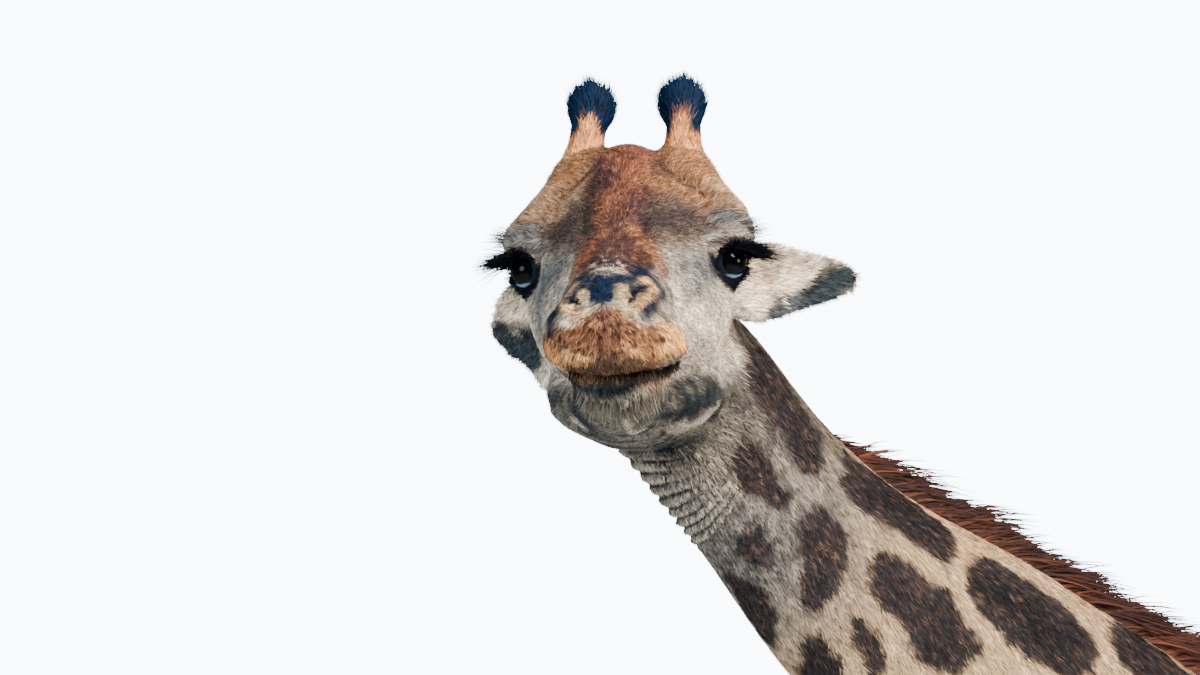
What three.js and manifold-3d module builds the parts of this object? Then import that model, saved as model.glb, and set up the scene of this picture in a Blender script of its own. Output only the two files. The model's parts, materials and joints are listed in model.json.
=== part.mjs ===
// A life-size adult female southern giraffe, standing still with the neck leaning forward
// and the head turned to its left. Millimetres, +Z up; the body faces -Y and its left is +X.
// Every part is a loft: rings of a rounded section set along a smooth line of stations.
import * as THREE from "three";
import { mergeVertices } from "three/addons/utils/BufferGeometryUtils.js";
import Module from "manifold-3d";

const wasm = await Module();
wasm.setup();

// Driving dimensions
const WITHERS = 2660; // height of the shoulder hump
const RUMP = 2420; // height over the hips
const STANCE = 160; // each foot's distance from the middle plane
const FORE_FOOT_Y = -505;
const HIND_FOOT_Y = 660;
const STEP = 45; // how far the feet of a pair stand apart, front to back
const HOOF_HEIGHT = 118;
const HEAD_AT = [82, -1835, 3711]; // middle of the head, between and just below the eyes
const HEAD_TURN = 51; // degrees to the left of the body's heading
const HEAD_NOD = 7.2; // degrees, muzzle down
const HEAD_ROLL = -2; // degrees, left side up
const EYE = { x: 109, y: 2, z: 32, radius: 25 };
const EAR = { length: 204, width: 46, thick: 9 };
const HORN_SPREAD = 57; // each horn's distance from the middle of the pair
const HORN_SHIFT = 9; // this animal's horns sit a little to its left
const GAP = 0.35; // left between pieces that touch
const ORIGIN = [73, -593, 0]; // under the middle of the whole animal

const SECTION_POWER = 2.3; // 2 is an ellipse, more is squarer
const DEGREE = Math.PI / 180;

// Shapes -----------------------------------------------------------------------------------

const DOWN = new THREE.Vector3(0, 0, -1);
const smoothLine = (points) =>
  new THREE.CatmullRomCurve3(points, false, "catmullrom", 0.5);
const roundPower = (x, power) => Math.sign(x) * Math.abs(x) ** (2 / power);

// Width at height v (-1 below to 1 above), where top and bottom are shares of the middle width.
const widthShare = (v, top, bottom) =>
  1 + (v * (top - bottom)) / 1.4 + (v * v * ((top + bottom) / 2 - 1)) / 0.49;

// A station is [x, y, z, above, below, half width, top share, bottom share]; up says which way
// "above" points, as one direction or one for each station. Level rings lie flat. A cap is the
// length of a rounded end, and grow makes the whole form that much bigger.
const CAP_TURNS = [90, 62, 32]; // degrees round a rounded end, from its tip
function loft(stations, options) {
  const { sides = 16, between = 2, up = [0, 0, 1], startCap = 0, endCap = 0 } = options;
  const { grow = 0, power = SECTION_POWER, level = false } = options;
  const path = smoothLine(stations.map((s) => new THREE.Vector3(s[0], s[1], s[2])));
  const sizes = smoothLine(stations.map((s) => new THREE.Vector3(s[3], s[4], s[5])));
  const shares = smoothLine(stations.map((s) => new THREE.Vector3(s[6] ?? 1, s[7] ?? 1, 0)));
  const ups = smoothLine(
    stations.map((s, i) => new THREE.Vector3(...(Array.isArray(up[0]) ? up[i] : up))),
  );
  const steps = (stations.length - 1) * between;
  const rings = [];
  const addRing = (t, scale, push) => {
    const along = level ? DOWN : path.getTangent(t);
    const above = ups.getPoint(t).addScaledVector(along, -ups.getPoint(t).dot(along)).normalize();
    const side = along.clone().cross(above);
    const centre = path.getPoint(t).addScaledVector(along, push);
    const size = sizes.getPoint(t);
    const share = shares.getPoint(t);
    const ring = [];
    for (let j = 0; j < sides && scale > 0; j++) {
      const angle = (2 * Math.PI * (j + 0.5)) / sides;
      const v = roundPower(Math.sin(angle), power);
      const h = roundPower(Math.cos(angle), power);
      const high = v * (v > 0 ? size.x + grow : size.y + grow) * scale;
      const wide = h * (size.z + grow) * widthShare(v, share.x, share.y) * scale;
      ring.push(centre.clone().addScaledVector(side, wide).addScaledVector(above, high));
    }
    rings.push(scale > 0 ? ring : [centre]);
  };
  const addCapRing = (t, turn, length) =>
    addRing(t, turn < 90 ? Math.cos(turn * DEGREE) : 0, length * Math.sin(turn * DEGREE));
  const startTurns = startCap ? CAP_TURNS : [90];
  const endTurns = endCap ? [...CAP_TURNS].reverse() : [90];
  startTurns.forEach((turn) => addCapRing(0, turn, startCap ? -startCap - grow : 0));
  for (let i = 0; i <= steps; i++) addRing(i / steps, 1, 0);
  endTurns.forEach((turn) => addCapRing(1, turn, endCap ? endCap + grow : 0));

  const points = [];
  const faces = [];
  const firstOf = rings.map((ring) => points.push(...ring) - ring.length);
  for (let i = 0; i + 1 < rings.length; i++) {
    for (let j = 0; j < sides; j++) {
      const next = (j + 1) % sides;
      const at = (r, k) => firstOf[r] + (rings[r].length === 1 ? 0 : k);
      if (rings[i + 1].length > 1) faces.push(at(i, j), at(i + 1, j), at(i + 1, next));
      if (rings[i].length > 1) faces.push(at(i, j), at(i + 1, next), at(i, next));
    }
  }
  return new THREE.BufferGeometry().setFromPoints(points).setIndex(faces);
}

// A rounded lump, as a sphere stretched to three half sizes.
const lump = (at, half, detail = 12) =>
  new THREE.SphereGeometry(1, detail, Math.round(detail * 0.65)).scale(...half).translate(...at);

// Joins and cuts ---------------------------------------------------------------------------

function solid(geometry) {
  const bare = geometry.clone().deleteAttribute("normal").deleteAttribute("uv");
  const merged = mergeVertices(bare, 1e-3);
  return new wasm.Manifold(
    new wasm.Mesh({
      numProp: 3,
      vertProperties: merged.attributes.position.array,
      triVerts: new Uint32Array(merged.index.array),
    }),
  );
}

function geometryOf(piece) {
  const mesh = piece.getMesh();
  const geometry = new THREE.BufferGeometry();
  geometry.setAttribute("position", new THREE.BufferAttribute(mesh.vertProperties, 3));
  geometry.setIndex(new THREE.BufferAttribute(mesh.triVerts, 1));
  geometry.computeVertexNormals();
  return geometry;
}

const join = (...pieces) => pieces.reduce((a, b) => a.add(b));
const cut = (piece, ...tools) => tools.reduce((a, b) => a.subtract(b), piece);
const moved = (piece, matrix) => solid(geometryOf(piece).applyMatrix4(matrix));

// Everything on the far side of the plane through "at" that faces along "normal".
const FAR = 6000;
function beyond(at, normal) {
  const facing = new THREE.Vector3(...normal).normalize();
  const turn = new THREE.Quaternion().setFromUnitVectors(new THREE.Vector3(0, 0, 1), facing);
  const block = new THREE.BoxGeometry(FAR, FAR, FAR).translate(0, 0, FAR / 2);
  return solid(block.applyQuaternion(turn).translate(...at));
}

// Colours ----------------------------------------------------------------------------------

const finish = (color, roughness, metalness = 0) =>
  new THREE.MeshStandardMaterial({ color, roughness, metalness });
const COAT = finish(0xb89a74, 0.85);
const FACE = finish(0xa98a6c, 0.85);
const MANE_HAIR = finish(0x6b3a22, 0.7);
const DARK_HAIR = finish(0x17181c, 0.6);
const HOOF = finish(0x3c342c, 0.5);
const EYE_DARK = finish(0x0c0908, 0.1);

// The trunk --------------------------------------------------------------------------------

// [y, height of the back, height of the belly, half width, top share, bottom share]
const TRUNK = [
  [-815, 2215, 1985, 80, 1, 1],
  [-755, 2330, 1850, 160, 0.9, 1],
  [-640, 2480, 1715, 222, 0.82, 0.95],
  [-470, WITHERS - 45, 1620, 268, 0.66, 0.9],
  [-290, WITHERS, 1572, 298, 0.58, 0.9],
  [-70, WITHERS - 75, 1545, 322, 0.66, 0.92],
  [170, RUMP + 75, 1550, 326, 0.76, 0.92],
  [400, RUMP + 10, 1605, 300, 0.84, 0.85],
  [575, RUMP - 55, 1690, 262, 0.86, 0.8],
  [720, RUMP - 155, 1800, 205, 0.86, 0.8],
  [815, RUMP - 270, 1910, 130, 1, 0.8],
];
const alongBody = ([y, high, low, half, top, bottom]) => {
  const middle = (high + low) / 2;
  return [0, y, middle, high - middle, middle - low, half, top, bottom];
};
const trunkLoft = (grow = 0) =>
  solid(loft(TRUNK.map(alongBody), { sides: 18, startCap: 22, endCap: 40, grow }));

// The neck ---------------------------------------------------------------------------------

// [x, y, z, above, below, half width, top share, bottom share], from the shoulders to the head
const NECK = [
  [0, -400, 2240, 400, 400, 222, 0.62, 0.9],
  [0, -550, 2440, 344, 340, 190, 0.62, 0.9],
  [0, -705, 2655, 292, 278, 160, 0.66, 0.92],
  [0, -870, 2880, 254, 234, 138, 0.7, 0.95],
  [0, -1045, 3100, 246, 204, 123, 0.72, 0.95],
  [0, -1250, 3288, 186, 184, 110, 0.76, 0.95],
  [-14, -1438, 3419, 141, 155, 98, 0.8, 0.95],
  [-27, -1558, 3521, 116, 132, 92, 0.85, 0.95],
  [-42, -1662, 3624, 116, 122, 96, 0.9, 0.95],
  [-50, -1736, 3716, 100, 98, 84, 0.9, 0.95],
];
const NECK_CUT_FACES = [0, -0.6, 0.8]; // the neck's own piece starts at its second station
// The neck's upper side: straight back over most of its length, turning with the head.
const NECK_UP = NECK.map((_, i) => {
  const turn = [0, 0, 0, 0, 0, 0, 4, 14, 28, 40][i] * DEGREE;
  return [-Math.sin(turn), 0.77 * Math.cos(turn), 0.64];
});
const neckLoft = (grow = 0) =>
  solid(loft(NECK, { sides: 18, up: NECK_UP, startCap: 20, endCap: 30, grow }));

// A stiff crest of hair on the upper side of the neck.
const MANE_FROM = 1; // station of the neck where it starts
const MANE_RISE = [20, 44, 54, 60, 52, 46, 26, 12, 4];
const maneLoft = () => {
  const stations = MANE_RISE.map((rise, i) => {
    const at = NECK[i + MANE_FROM];
    const past = NECK[Math.min(i + MANE_FROM + 1, NECK.length - 1)];
    const before = NECK[i + MANE_FROM - 1];
    const along = new THREE.Vector3(past[0] - before[0], past[1] - before[1], past[2] - before[2]);
    const above = new THREE.Vector3(...NECK_UP[i + MANE_FROM]);
    along.normalize();
    above.addScaledVector(along, -above.dot(along)).normalize();
    const centre = new THREE.Vector3(at[0], at[1], at[2]).addScaledVector(above, at[3] - 10);
    return [centre.x, centre.y, centre.z, rise + 10, 40, 24, 0.55, 1];
  });
  const up = MANE_RISE.map((_, i) => NECK_UP[i + MANE_FROM]);
  return solid(loft(stations, { sides: 8, between: 1, up, startCap: 30, endCap: 30 }));
};

// Legs -------------------------------------------------------------------------------------

// [out from the middle, y, z, ahead, behind, half width], from the body down to the foot
const FORELEG = [
  [150, -520, 2230, 150, 150, 80],
  [182, -515, 2080, 178, 170, 104],
  [192, -500, 1920, 168, 165, 108],
  [188, -482, 1770, 135, 152, 99],
  [180, -472, 1640, 106, 126, 88],
  [172, -470, 1460, 86, 94, 73],
  [166, -476, 1250, 71, 75, 59],
  [162, -482, 1060, 62, 62, 51],
  [160, -486, 945, 66, 61, 55],
  [160, -488, 870, 71, 60, 58],
  [160, -485, 790, 57, 56, 50],
  [160, -480, 690, 47, 50, 42],
  [160, -478, 500, 43, 47, 38],
  [160, -478, 350, 44, 51, 39],
  [160, -480, 272, 51, 62, 47],
  [160, -492, 200, 47, 50, 43],
  [160, -502, HOOF_HEIGHT + GAP, 57, 56, 52],
];
const HINDLEG = [
  [120, 560, 2220, 170, 165, 80],
  [160, 565, 2080, 215, 215, 112],
  [174, 560, 1930, 218, 225, 124],
  [176, 545, 1780, 192, 205, 120],
  [172, 530, 1620, 160, 168, 104],
  [167, 545, 1480, 128, 126, 84],
  [162, 588, 1330, 92, 96, 66],
  [158, 640, 1180, 68, 80, 53],
  [156, 682, 1060, 60, 84, 48],
  [156, 700, 975, 64, 88, 52],
  [156, 704, 885, 60, 68, 50],
  [157, 698, 780, 50, 53, 43],
  [158, 692, 600, 45, 48, 38],
  [158, 686, 400, 45, 51, 38],
  [158, 682, 272, 51, 63, 46],
  [158, 668, 200, 47, 50, 42],
  [158, 658, HOOF_HEIGHT + GAP, 57, 56, 51],
];
const FORWARD = [0, -1, 0];
// A leg swings from its top, so that the foot ends STEP ahead (or behind) and stays level.
const STEP_FROM = 1900;
// Height where each leg's own piece starts, about level with the underside of the trunk.
const FORELEG_TOP = 1635;
const HINDLEG_TOP = 1690;
const stepped = (stations, sideways, step) =>
  stations.map(([x, y, z, ...size]) => {
    const share = Math.max(0, 1 - z / STEP_FROM);
    return [sideways * x, y + step * share, z, ...size];
  });
const legLoft = (stations, sideways, step) =>
  solid(loft(stepped(stations, sideways, step),
    { sides: 14, between: 1, up: FORWARD, startCap: 60, power: 2.15, level: true }));

// One of the two claws of a foot, flat underneath.
const CLAW_OUT = 30;
const clawOf = (x, y) =>
  solid(loft(
    [
      [x, y, HOOF_HEIGHT, 58, 54, 25],
      [x, y, 62, 88, 62, 27],
      [x, y, 18, 116, 70, 29.5],
      [x, y, 0, 119, 66, 29],
    ],
    { sides: 10, between: 1, up: FORWARD, power: 2.6, level: true },
  ));

// The tail ---------------------------------------------------------------------------------

const TAIL = [
  [0, 790, 2170, 60, 60, 55],
  [0, 862, 2110, 44, 44, 42],
  [0, 905, 2010, 32, 32, 32],
  [0, 925, 1850, 25, 25, 25],
  [0, 930, 1650, 20, 20, 20],
  [0, 928, 1450, 18, 18, 18],
  [0, 924, 1350, 18, 18, 18],
];
const TAIL_TUFT = [
  [0, 922, 1350 - GAP, 20, 20, 20],
  [0, 920, 1270, 40, 40, 36],
  [0, 918, 1140, 58, 58, 50],
  [0, 916, 980, 58, 60, 50],
  [0, 914, 840, 40, 44, 34],
  [0, 912, 760, 16, 18, 14],
];

// The head, in its own frame: -Y to the muzzle, +X to its left, origin between the eyes --------

// [y, top, bottom, half width, top share, bottom share]
const SKULL = [
  [-474, -30, -92, 48, 0.9, 0.95],
  [-452, -4, -110, 68, 0.78, 0.98],
  [-415, 14, -114, 77, 0.68, 0.98],
  [-370, 25, -108, 72, 0.68, 0.98],
  [-310, 38, -100, 64, 0.74, 1.02],
  [-240, 60, -102, 66, 0.76, 1.08],
  [-170, 88, -110, 80, 0.76, 1.04],
  [-105, 118, -120, 100, 0.7, 0.98],
  [-50, 142, -128, 114, 0.7, 0.94],
  [0, 164, -130, 119, 0.72, 0.94],
  [60, 175, -128, 115, 0.72, 0.96],
  [120, 158, -112, 101, 0.74, 0.98],
  [175, 124, -84, 84, 0.8, 1],
  [212, 84, -50, 64, 0.9, 1],
];
const JAW = [
  [-446, -92, -134, 40, 1, 0.9],
  [-420, -84, -150, 56, 1, 0.86],
  [-370, -80, -156, 56, 1, 0.8],
  [-290, -80, -158, 54, 1, 0.8],
  [-200, -84, -164, 62, 1, 0.8],
  [-110, -80, -172, 80, 1, 0.78],
  [-20, -60, -180, 98, 1, 0.76],
  [60, -40, -182, 102, 1, 0.76],
  [110, -30, -166, 94, 1, 0.8],
];
const HORN = [
  [HORN_SPREAD + 4, 62, 122, 44, 44, 40],
  [HORN_SPREAD + 2, 84, 158, 30, 30, 28],
  [HORN_SPREAD, 104, 188, 22, 22, 20],
  [HORN_SPREAD - 3, 120, 210, 25, 25, 23],
  [HORN_SPREAD - 4, 134, 230, 22, 22, 22],
];
const hornPath = (stations, sideways) =>
  stations.map(([x, ...rest]) => [HORN_SHIFT + sideways * x, ...rest]);

const skullLoft = (grow = 0) => solid(loft(SKULL.map(alongBody),
  { sides: 20, between: 1, startCap: 10, endCap: 20, power: 2.35, grow }));
const jawLoft = (grow = 0) => solid(loft(JAW.map(alongBody),
  { sides: 14, between: 1, startCap: 10, endCap: 22, power: 2.4, grow }));
const eyeball = (sideways, grow = 0) =>
  solid(new THREE.SphereGeometry(EYE.radius + grow, 12, 8)
    .translate(sideways * EYE.x, EYE.y, EYE.z));
const browOf = (sideways) => solid(lump([sideways * 96, 26, 62], [44, 78, 40], 9));
const hornRootOf = (sideways) => solid(loft(hornPath([
  [68, 20, 84, 62, 62, 46],
  [HORN_SPREAD + 5, 46, 118, 50, 50, 40],
  [HORN_SPREAD + 3, 72, 144, 36, 36, 31],
], sideways), { sides: 10, between: 1, up: FORWARD, startCap: 20, endCap: 8 }));
const nostrilOf = (sideways) => solid(lump([0, 0, 0], [7, 16, 18], 8)
  .rotateY(-sideways * 32 * DEGREE).translate(sideways * 37, -446, -14));
const hornLoft = (sideways, grow = 0) => solid(loft(hornPath(HORN, sideways),
  { sides: 10, between: 1, up: FORWARD, startCap: 8, endCap: 16, grow }));

// An ear: a cupped leaf from root to tip. It opens towards "opening".
function ear(root, tip, opening) {
  const start = new THREE.Vector3(...root);
  const along = new THREE.Vector3(...tip).sub(start).normalize();
  const open = new THREE.Vector3(...opening);
  open.addScaledVector(along, -open.dot(along)).normalize();
  const across = open.clone().cross(along);
  const LONG = 9;
  const WIDE = 6;
  const place = (s, v, lift) => {
    const leaf = EAR.width * (0.5 + 1.9 * s - 2.35 * s * s + 0.02);
    const half = Math.max(leaf, 5);
    const cup = half * (0.85 - 0.65 * s);
    return start.clone()
      .addScaledVector(along, s * EAR.length)
      .addScaledVector(across, v * half)
      .addScaledVector(open, cup * v * v + lift);
  };
  const points = [];
  const index = (layer, i, j) => layer * (LONG + 1) * (WIDE + 1) + i * (WIDE + 1) + j;
  for (const lift of [EAR.thick / 2, -EAR.thick / 2])
    for (let i = 0; i <= LONG; i++)
      for (let j = 0; j <= WIDE; j++) points.push(place(i / LONG, (2 * j) / WIDE - 1, lift));
  const faces = [];
  const quad = (a, b, c, d) => faces.push(a, c, b, a, d, c);
  for (let i = 0; i < LONG; i++)
    for (let j = 0; j < WIDE; j++) {
      quad(index(0, i, j), index(0, i, j + 1), index(0, i + 1, j + 1), index(0, i + 1, j));
      quad(index(1, i, j), index(1, i + 1, j), index(1, i + 1, j + 1), index(1, i, j + 1));
    }
  for (let i = 0; i < LONG; i++) {
    quad(index(0, i, 0), index(0, i + 1, 0), index(1, i + 1, 0), index(1, i, 0));
    quad(index(0, i + 1, WIDE), index(0, i, WIDE), index(1, i, WIDE), index(1, i + 1, WIDE));
  }
  for (let j = 0; j < WIDE; j++) {
    quad(index(0, 0, j + 1), index(0, 0, j), index(1, 0, j), index(1, 0, j + 1));
    quad(index(0, LONG, j), index(0, LONG, j + 1), index(1, LONG, j + 1), index(1, LONG, j));
  }
  return solid(new THREE.BufferGeometry().setFromPoints(points).setIndex(faces));
}
const EARS = {
  left: ear([96, 104, 13], [250, 230, 4], [0.35, -1, -0.15]),
  right: ear([-96, 104, 4], [-148, 260, -84], [-0.75, -0.75, -0.5]),
};

// Assembly ---------------------------------------------------------------------------------

const giraffe = new THREE.Group();
giraffe.position.set(-ORIGIN[0], -ORIGIN[1], -ORIGIN[2]);
const headFrame = new THREE.Group();
headFrame.position.set(...HEAD_AT);
headFrame.rotation.set(HEAD_NOD * DEGREE, HEAD_ROLL * DEGREE, HEAD_TURN * DEGREE, "ZXY");
headFrame.updateMatrix();
giraffe.add(headFrame);

const add = (group, name, piece, material) => {
  const mesh = new THREE.Mesh(geometryOf(piece), material);
  mesh.name = name;
  group.add(mesh);
};
const SIDES = { left: 1, right: -1 };
const bothSides = (make) => Object.values(SIDES).map((sideways) => make(sideways));

// Head
const skull = join(skullLoft(), ...bothSides(browOf), ...bothSides(hornRootOf));
const neckInHead = moved(neckLoft(GAP), headFrame.matrix.clone().invert());
const hollows = bothSides((sideways) => [
  eyeball(sideways, GAP),
  hornLoft(sideways, GAP),
  nostrilOf(sideways),
]).flat();
add(headFrame, "head", cut(skull, jawLoft(GAP), ...hollows), FACE);
add(headFrame, "lower_jaw", jawLoft(), FACE);
for (const [side, sideways] of Object.entries(SIDES)) {
  add(headFrame, `eye_${side}`, eyeball(sideways), EYE_DARK);
  add(headFrame, `horn_${side}`, hornLoft(sideways), DARK_HAIR);
  add(headFrame, `ear_${side}`, cut(EARS[side], skullLoft(GAP), neckInHead), FACE);
}

// Neck, mane and trunk
const LEGS = [
  { pair: "fore", stations: FORELEG, top: FORELEG_TOP, footY: FORE_FOOT_Y, swing: -STEP },
  { pair: "hind", stations: HINDLEG, top: HINDLEG_TOP, footY: HIND_FOOT_Y, swing: STEP },
];
const shoulders = LEGS.flatMap(({ stations, top, swing }) => bothSides((sideways) =>
  cut(legLoft(stations, sideways, sideways * swing), beyond([0, 0, top + GAP], [0, 0, -1]))));
const wholeTrunk = join(trunkLoft(), neckLoft(), ...shoulders);
const pastNeckCut = (gap) =>
  beyond([0, NECK[1][1] + gap * NECK_CUT_FACES[1], NECK[1][2] + gap * NECK_CUT_FACES[2]],
    NECK_CUT_FACES);
const headInBody = moved(join(skullLoft(GAP), jawLoft(GAP)), headFrame.matrix);
add(giraffe, "neck", cut(wholeTrunk.intersect(pastNeckCut(GAP)), headInBody), COAT);
add(giraffe, "trunk", cut(wholeTrunk, pastNeckCut(0)), COAT);
add(giraffe, "mane", cut(maneLoft(), neckLoft(GAP), trunkLoft(GAP), headInBody), MANE_HAIR);

// Legs and feet
for (const { pair, stations, top, footY, swing } of LEGS) {
  const aboveTop = beyond([0, 0, top], [0, 0, 1]);
  for (const [side, sideways] of Object.entries(SIDES)) {
    const step = sideways * swing;
    const leg = cut(legLoft(stations, sideways, step), aboveTop, trunkLoft(GAP));
    add(giraffe, `${pair}leg_${side}`, leg, COAT);
    for (const [claw, outward] of [["outer", 1], ["inner", -1]]) {
      const x = sideways * (STANCE + outward * CLAW_OUT);
      add(giraffe, `${pair}hoof_${side}_${claw}`, clawOf(x, footY + step), HOOF);
    }
  }
}

// Tail
const tailLoft = loft(TAIL, { sides: 8, between: 1, up: [0, 1, 0.3], startCap: 20 });
add(giraffe, "tail", cut(solid(tailLoft), trunkLoft(GAP)), COAT);
const tuftLoft = loft(TAIL_TUFT, { sides: 8, between: 1, up: [0, 1, 0], endCap: 20 });
add(giraffe, "tail_tuft", solid(tuftLoft), DARK_HAIR);

export default giraffe;
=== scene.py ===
import bpy
import bmesh
import json
import math
import numpy as np
from contextlib import contextmanager
from mathutils import Matrix, Vector

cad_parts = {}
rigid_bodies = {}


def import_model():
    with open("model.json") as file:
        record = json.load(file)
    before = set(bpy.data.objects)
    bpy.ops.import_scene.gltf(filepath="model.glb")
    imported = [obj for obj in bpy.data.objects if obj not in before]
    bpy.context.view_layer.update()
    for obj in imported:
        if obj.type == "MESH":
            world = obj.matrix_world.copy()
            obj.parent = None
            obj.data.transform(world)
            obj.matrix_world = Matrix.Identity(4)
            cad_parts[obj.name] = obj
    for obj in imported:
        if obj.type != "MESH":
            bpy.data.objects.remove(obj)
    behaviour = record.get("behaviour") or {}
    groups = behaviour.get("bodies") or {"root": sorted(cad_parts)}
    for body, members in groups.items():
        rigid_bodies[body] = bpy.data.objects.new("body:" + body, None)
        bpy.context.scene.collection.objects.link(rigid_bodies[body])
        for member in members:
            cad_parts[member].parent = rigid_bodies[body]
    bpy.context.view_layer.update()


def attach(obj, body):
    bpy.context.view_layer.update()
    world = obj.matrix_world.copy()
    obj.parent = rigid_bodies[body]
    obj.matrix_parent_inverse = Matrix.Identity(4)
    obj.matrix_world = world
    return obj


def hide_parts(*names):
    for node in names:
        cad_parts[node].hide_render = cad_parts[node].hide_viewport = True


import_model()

# Driving dimensions ------------------------------------------------------------------------
# Metres. The body faces -Y, its left is +X and the floor is Z = 0. The tables below lie round
# the body's own middle line. The finished animal stands with its box's middle at the origin.

WITHERS = 2.660
RUMP = 2.420
STANCE = 0.160
CLAW_OUT = 0.030
FORE_FOOT_Y = -0.505
HIND_FOOT_Y = 0.660
STEP = 0.045
ORIGIN = np.array([0.073, -0.593, 0.0])
HEAD_AT = np.array([0.082, -1.835, 3.711])
HEAD_TURN = 51
HEAD_NOD = 7.2
HEAD_ROLL = -2
EYE_AT = np.array([0.111, -0.004, 0.031])
EYE_RADIUS = 0.0235
EYE_AXIS = np.array([0.62, -0.78, 0.06])
COAT_DEPTH_BODY = 0.007
COAT_DEPTH_FACE = 0.0035


def turn_matrix(turn, nod, roll):
    """The head's turn about Z, its nod about X and its roll about Y, in degrees."""
    turning = Matrix.Rotation(math.radians(turn), 3, "Z")
    nodding = Matrix.Rotation(math.radians(nod), 3, "X")
    rolling = Matrix.Rotation(math.radians(roll), 3, "Y")
    return np.array(turning @ nodding @ rolling)


HEAD_TURNED = turn_matrix(HEAD_TURN, HEAD_NOD, HEAD_ROLL)


def to_head(points):
    """From the body's frame to the head's: -Y to the muzzle, +X to its left."""
    return (points - HEAD_AT) @ HEAD_TURNED


def from_head(points):
    """From the head's frame to the body's."""
    return np.asarray(points) @ HEAD_TURNED.T + HEAD_AT


def mirrored(points):
    """The points, with those on the right brought over to the left."""
    both = points.copy()
    both[:, 0] = np.abs(both[:, 0])
    return both


def away_from(place, points):
    """How far each point is from the place."""
    return np.linalg.norm(points - place, axis=1)


# Forms of flesh ----------------------------------------------------------------------------
# Each form answers how far a point is outside it. Blends of such forms make the body.

FAR = 1.0
BATCH = 100000
MOST_CORNERS = 10000000
NECK_STEPS = 6
CORNERS = [(x, y, z) for x in (0, 1) for y in (0, 1) for z in (0, 1)]


def blend(a, b, soft):
    """Two forms grown together, with a fillet about this soft."""
    near = np.maximum(soft - np.abs(a - b), 0.0) / soft
    return np.minimum(a, b) - near * near * soft * 0.25


def carve(a, b, soft):
    """Form b taken out of form a, with a rounded edge."""
    return -blend(-a, b, soft)


def smooth_step(low, high, value):
    """From nothing at low to one at high, with soft ends."""
    t = np.clip((value - low) / (high - low), 0.0, 1.0)
    return t * t * (3.0 - 2.0 * t)


def smooth_line(rows, steps):
    """A smooth line through the rows, in this many steps from each to the next."""
    rows = np.asarray(rows, float)
    padded = np.vstack([2 * rows[0] - rows[1], rows, 2 * rows[-1] - rows[-2]])
    t = (np.arange(steps) / steps)[:, None]
    parts = []
    for i in range(len(rows) - 1):
        a, b, c, d = padded[i:i + 4]
        parts.append(0.5 * (2 * b + (c - a) * t + (2 * a - 5 * b + 4 * c - d) * t ** 2
                            + (3 * b - a - 3 * c + d) * t ** 3))
    return np.vstack(parts + [rows[-1:]])


def many(row, count):
    """The same row, this many times."""
    return np.repeat(np.asarray(row, float)[None], count, 0)


def unit(vectors):
    """Each row drawn out or in to a length of one."""
    return vectors / np.maximum(np.linalg.norm(vectors, axis=-1, keepdims=True), 1e-12)


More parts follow.
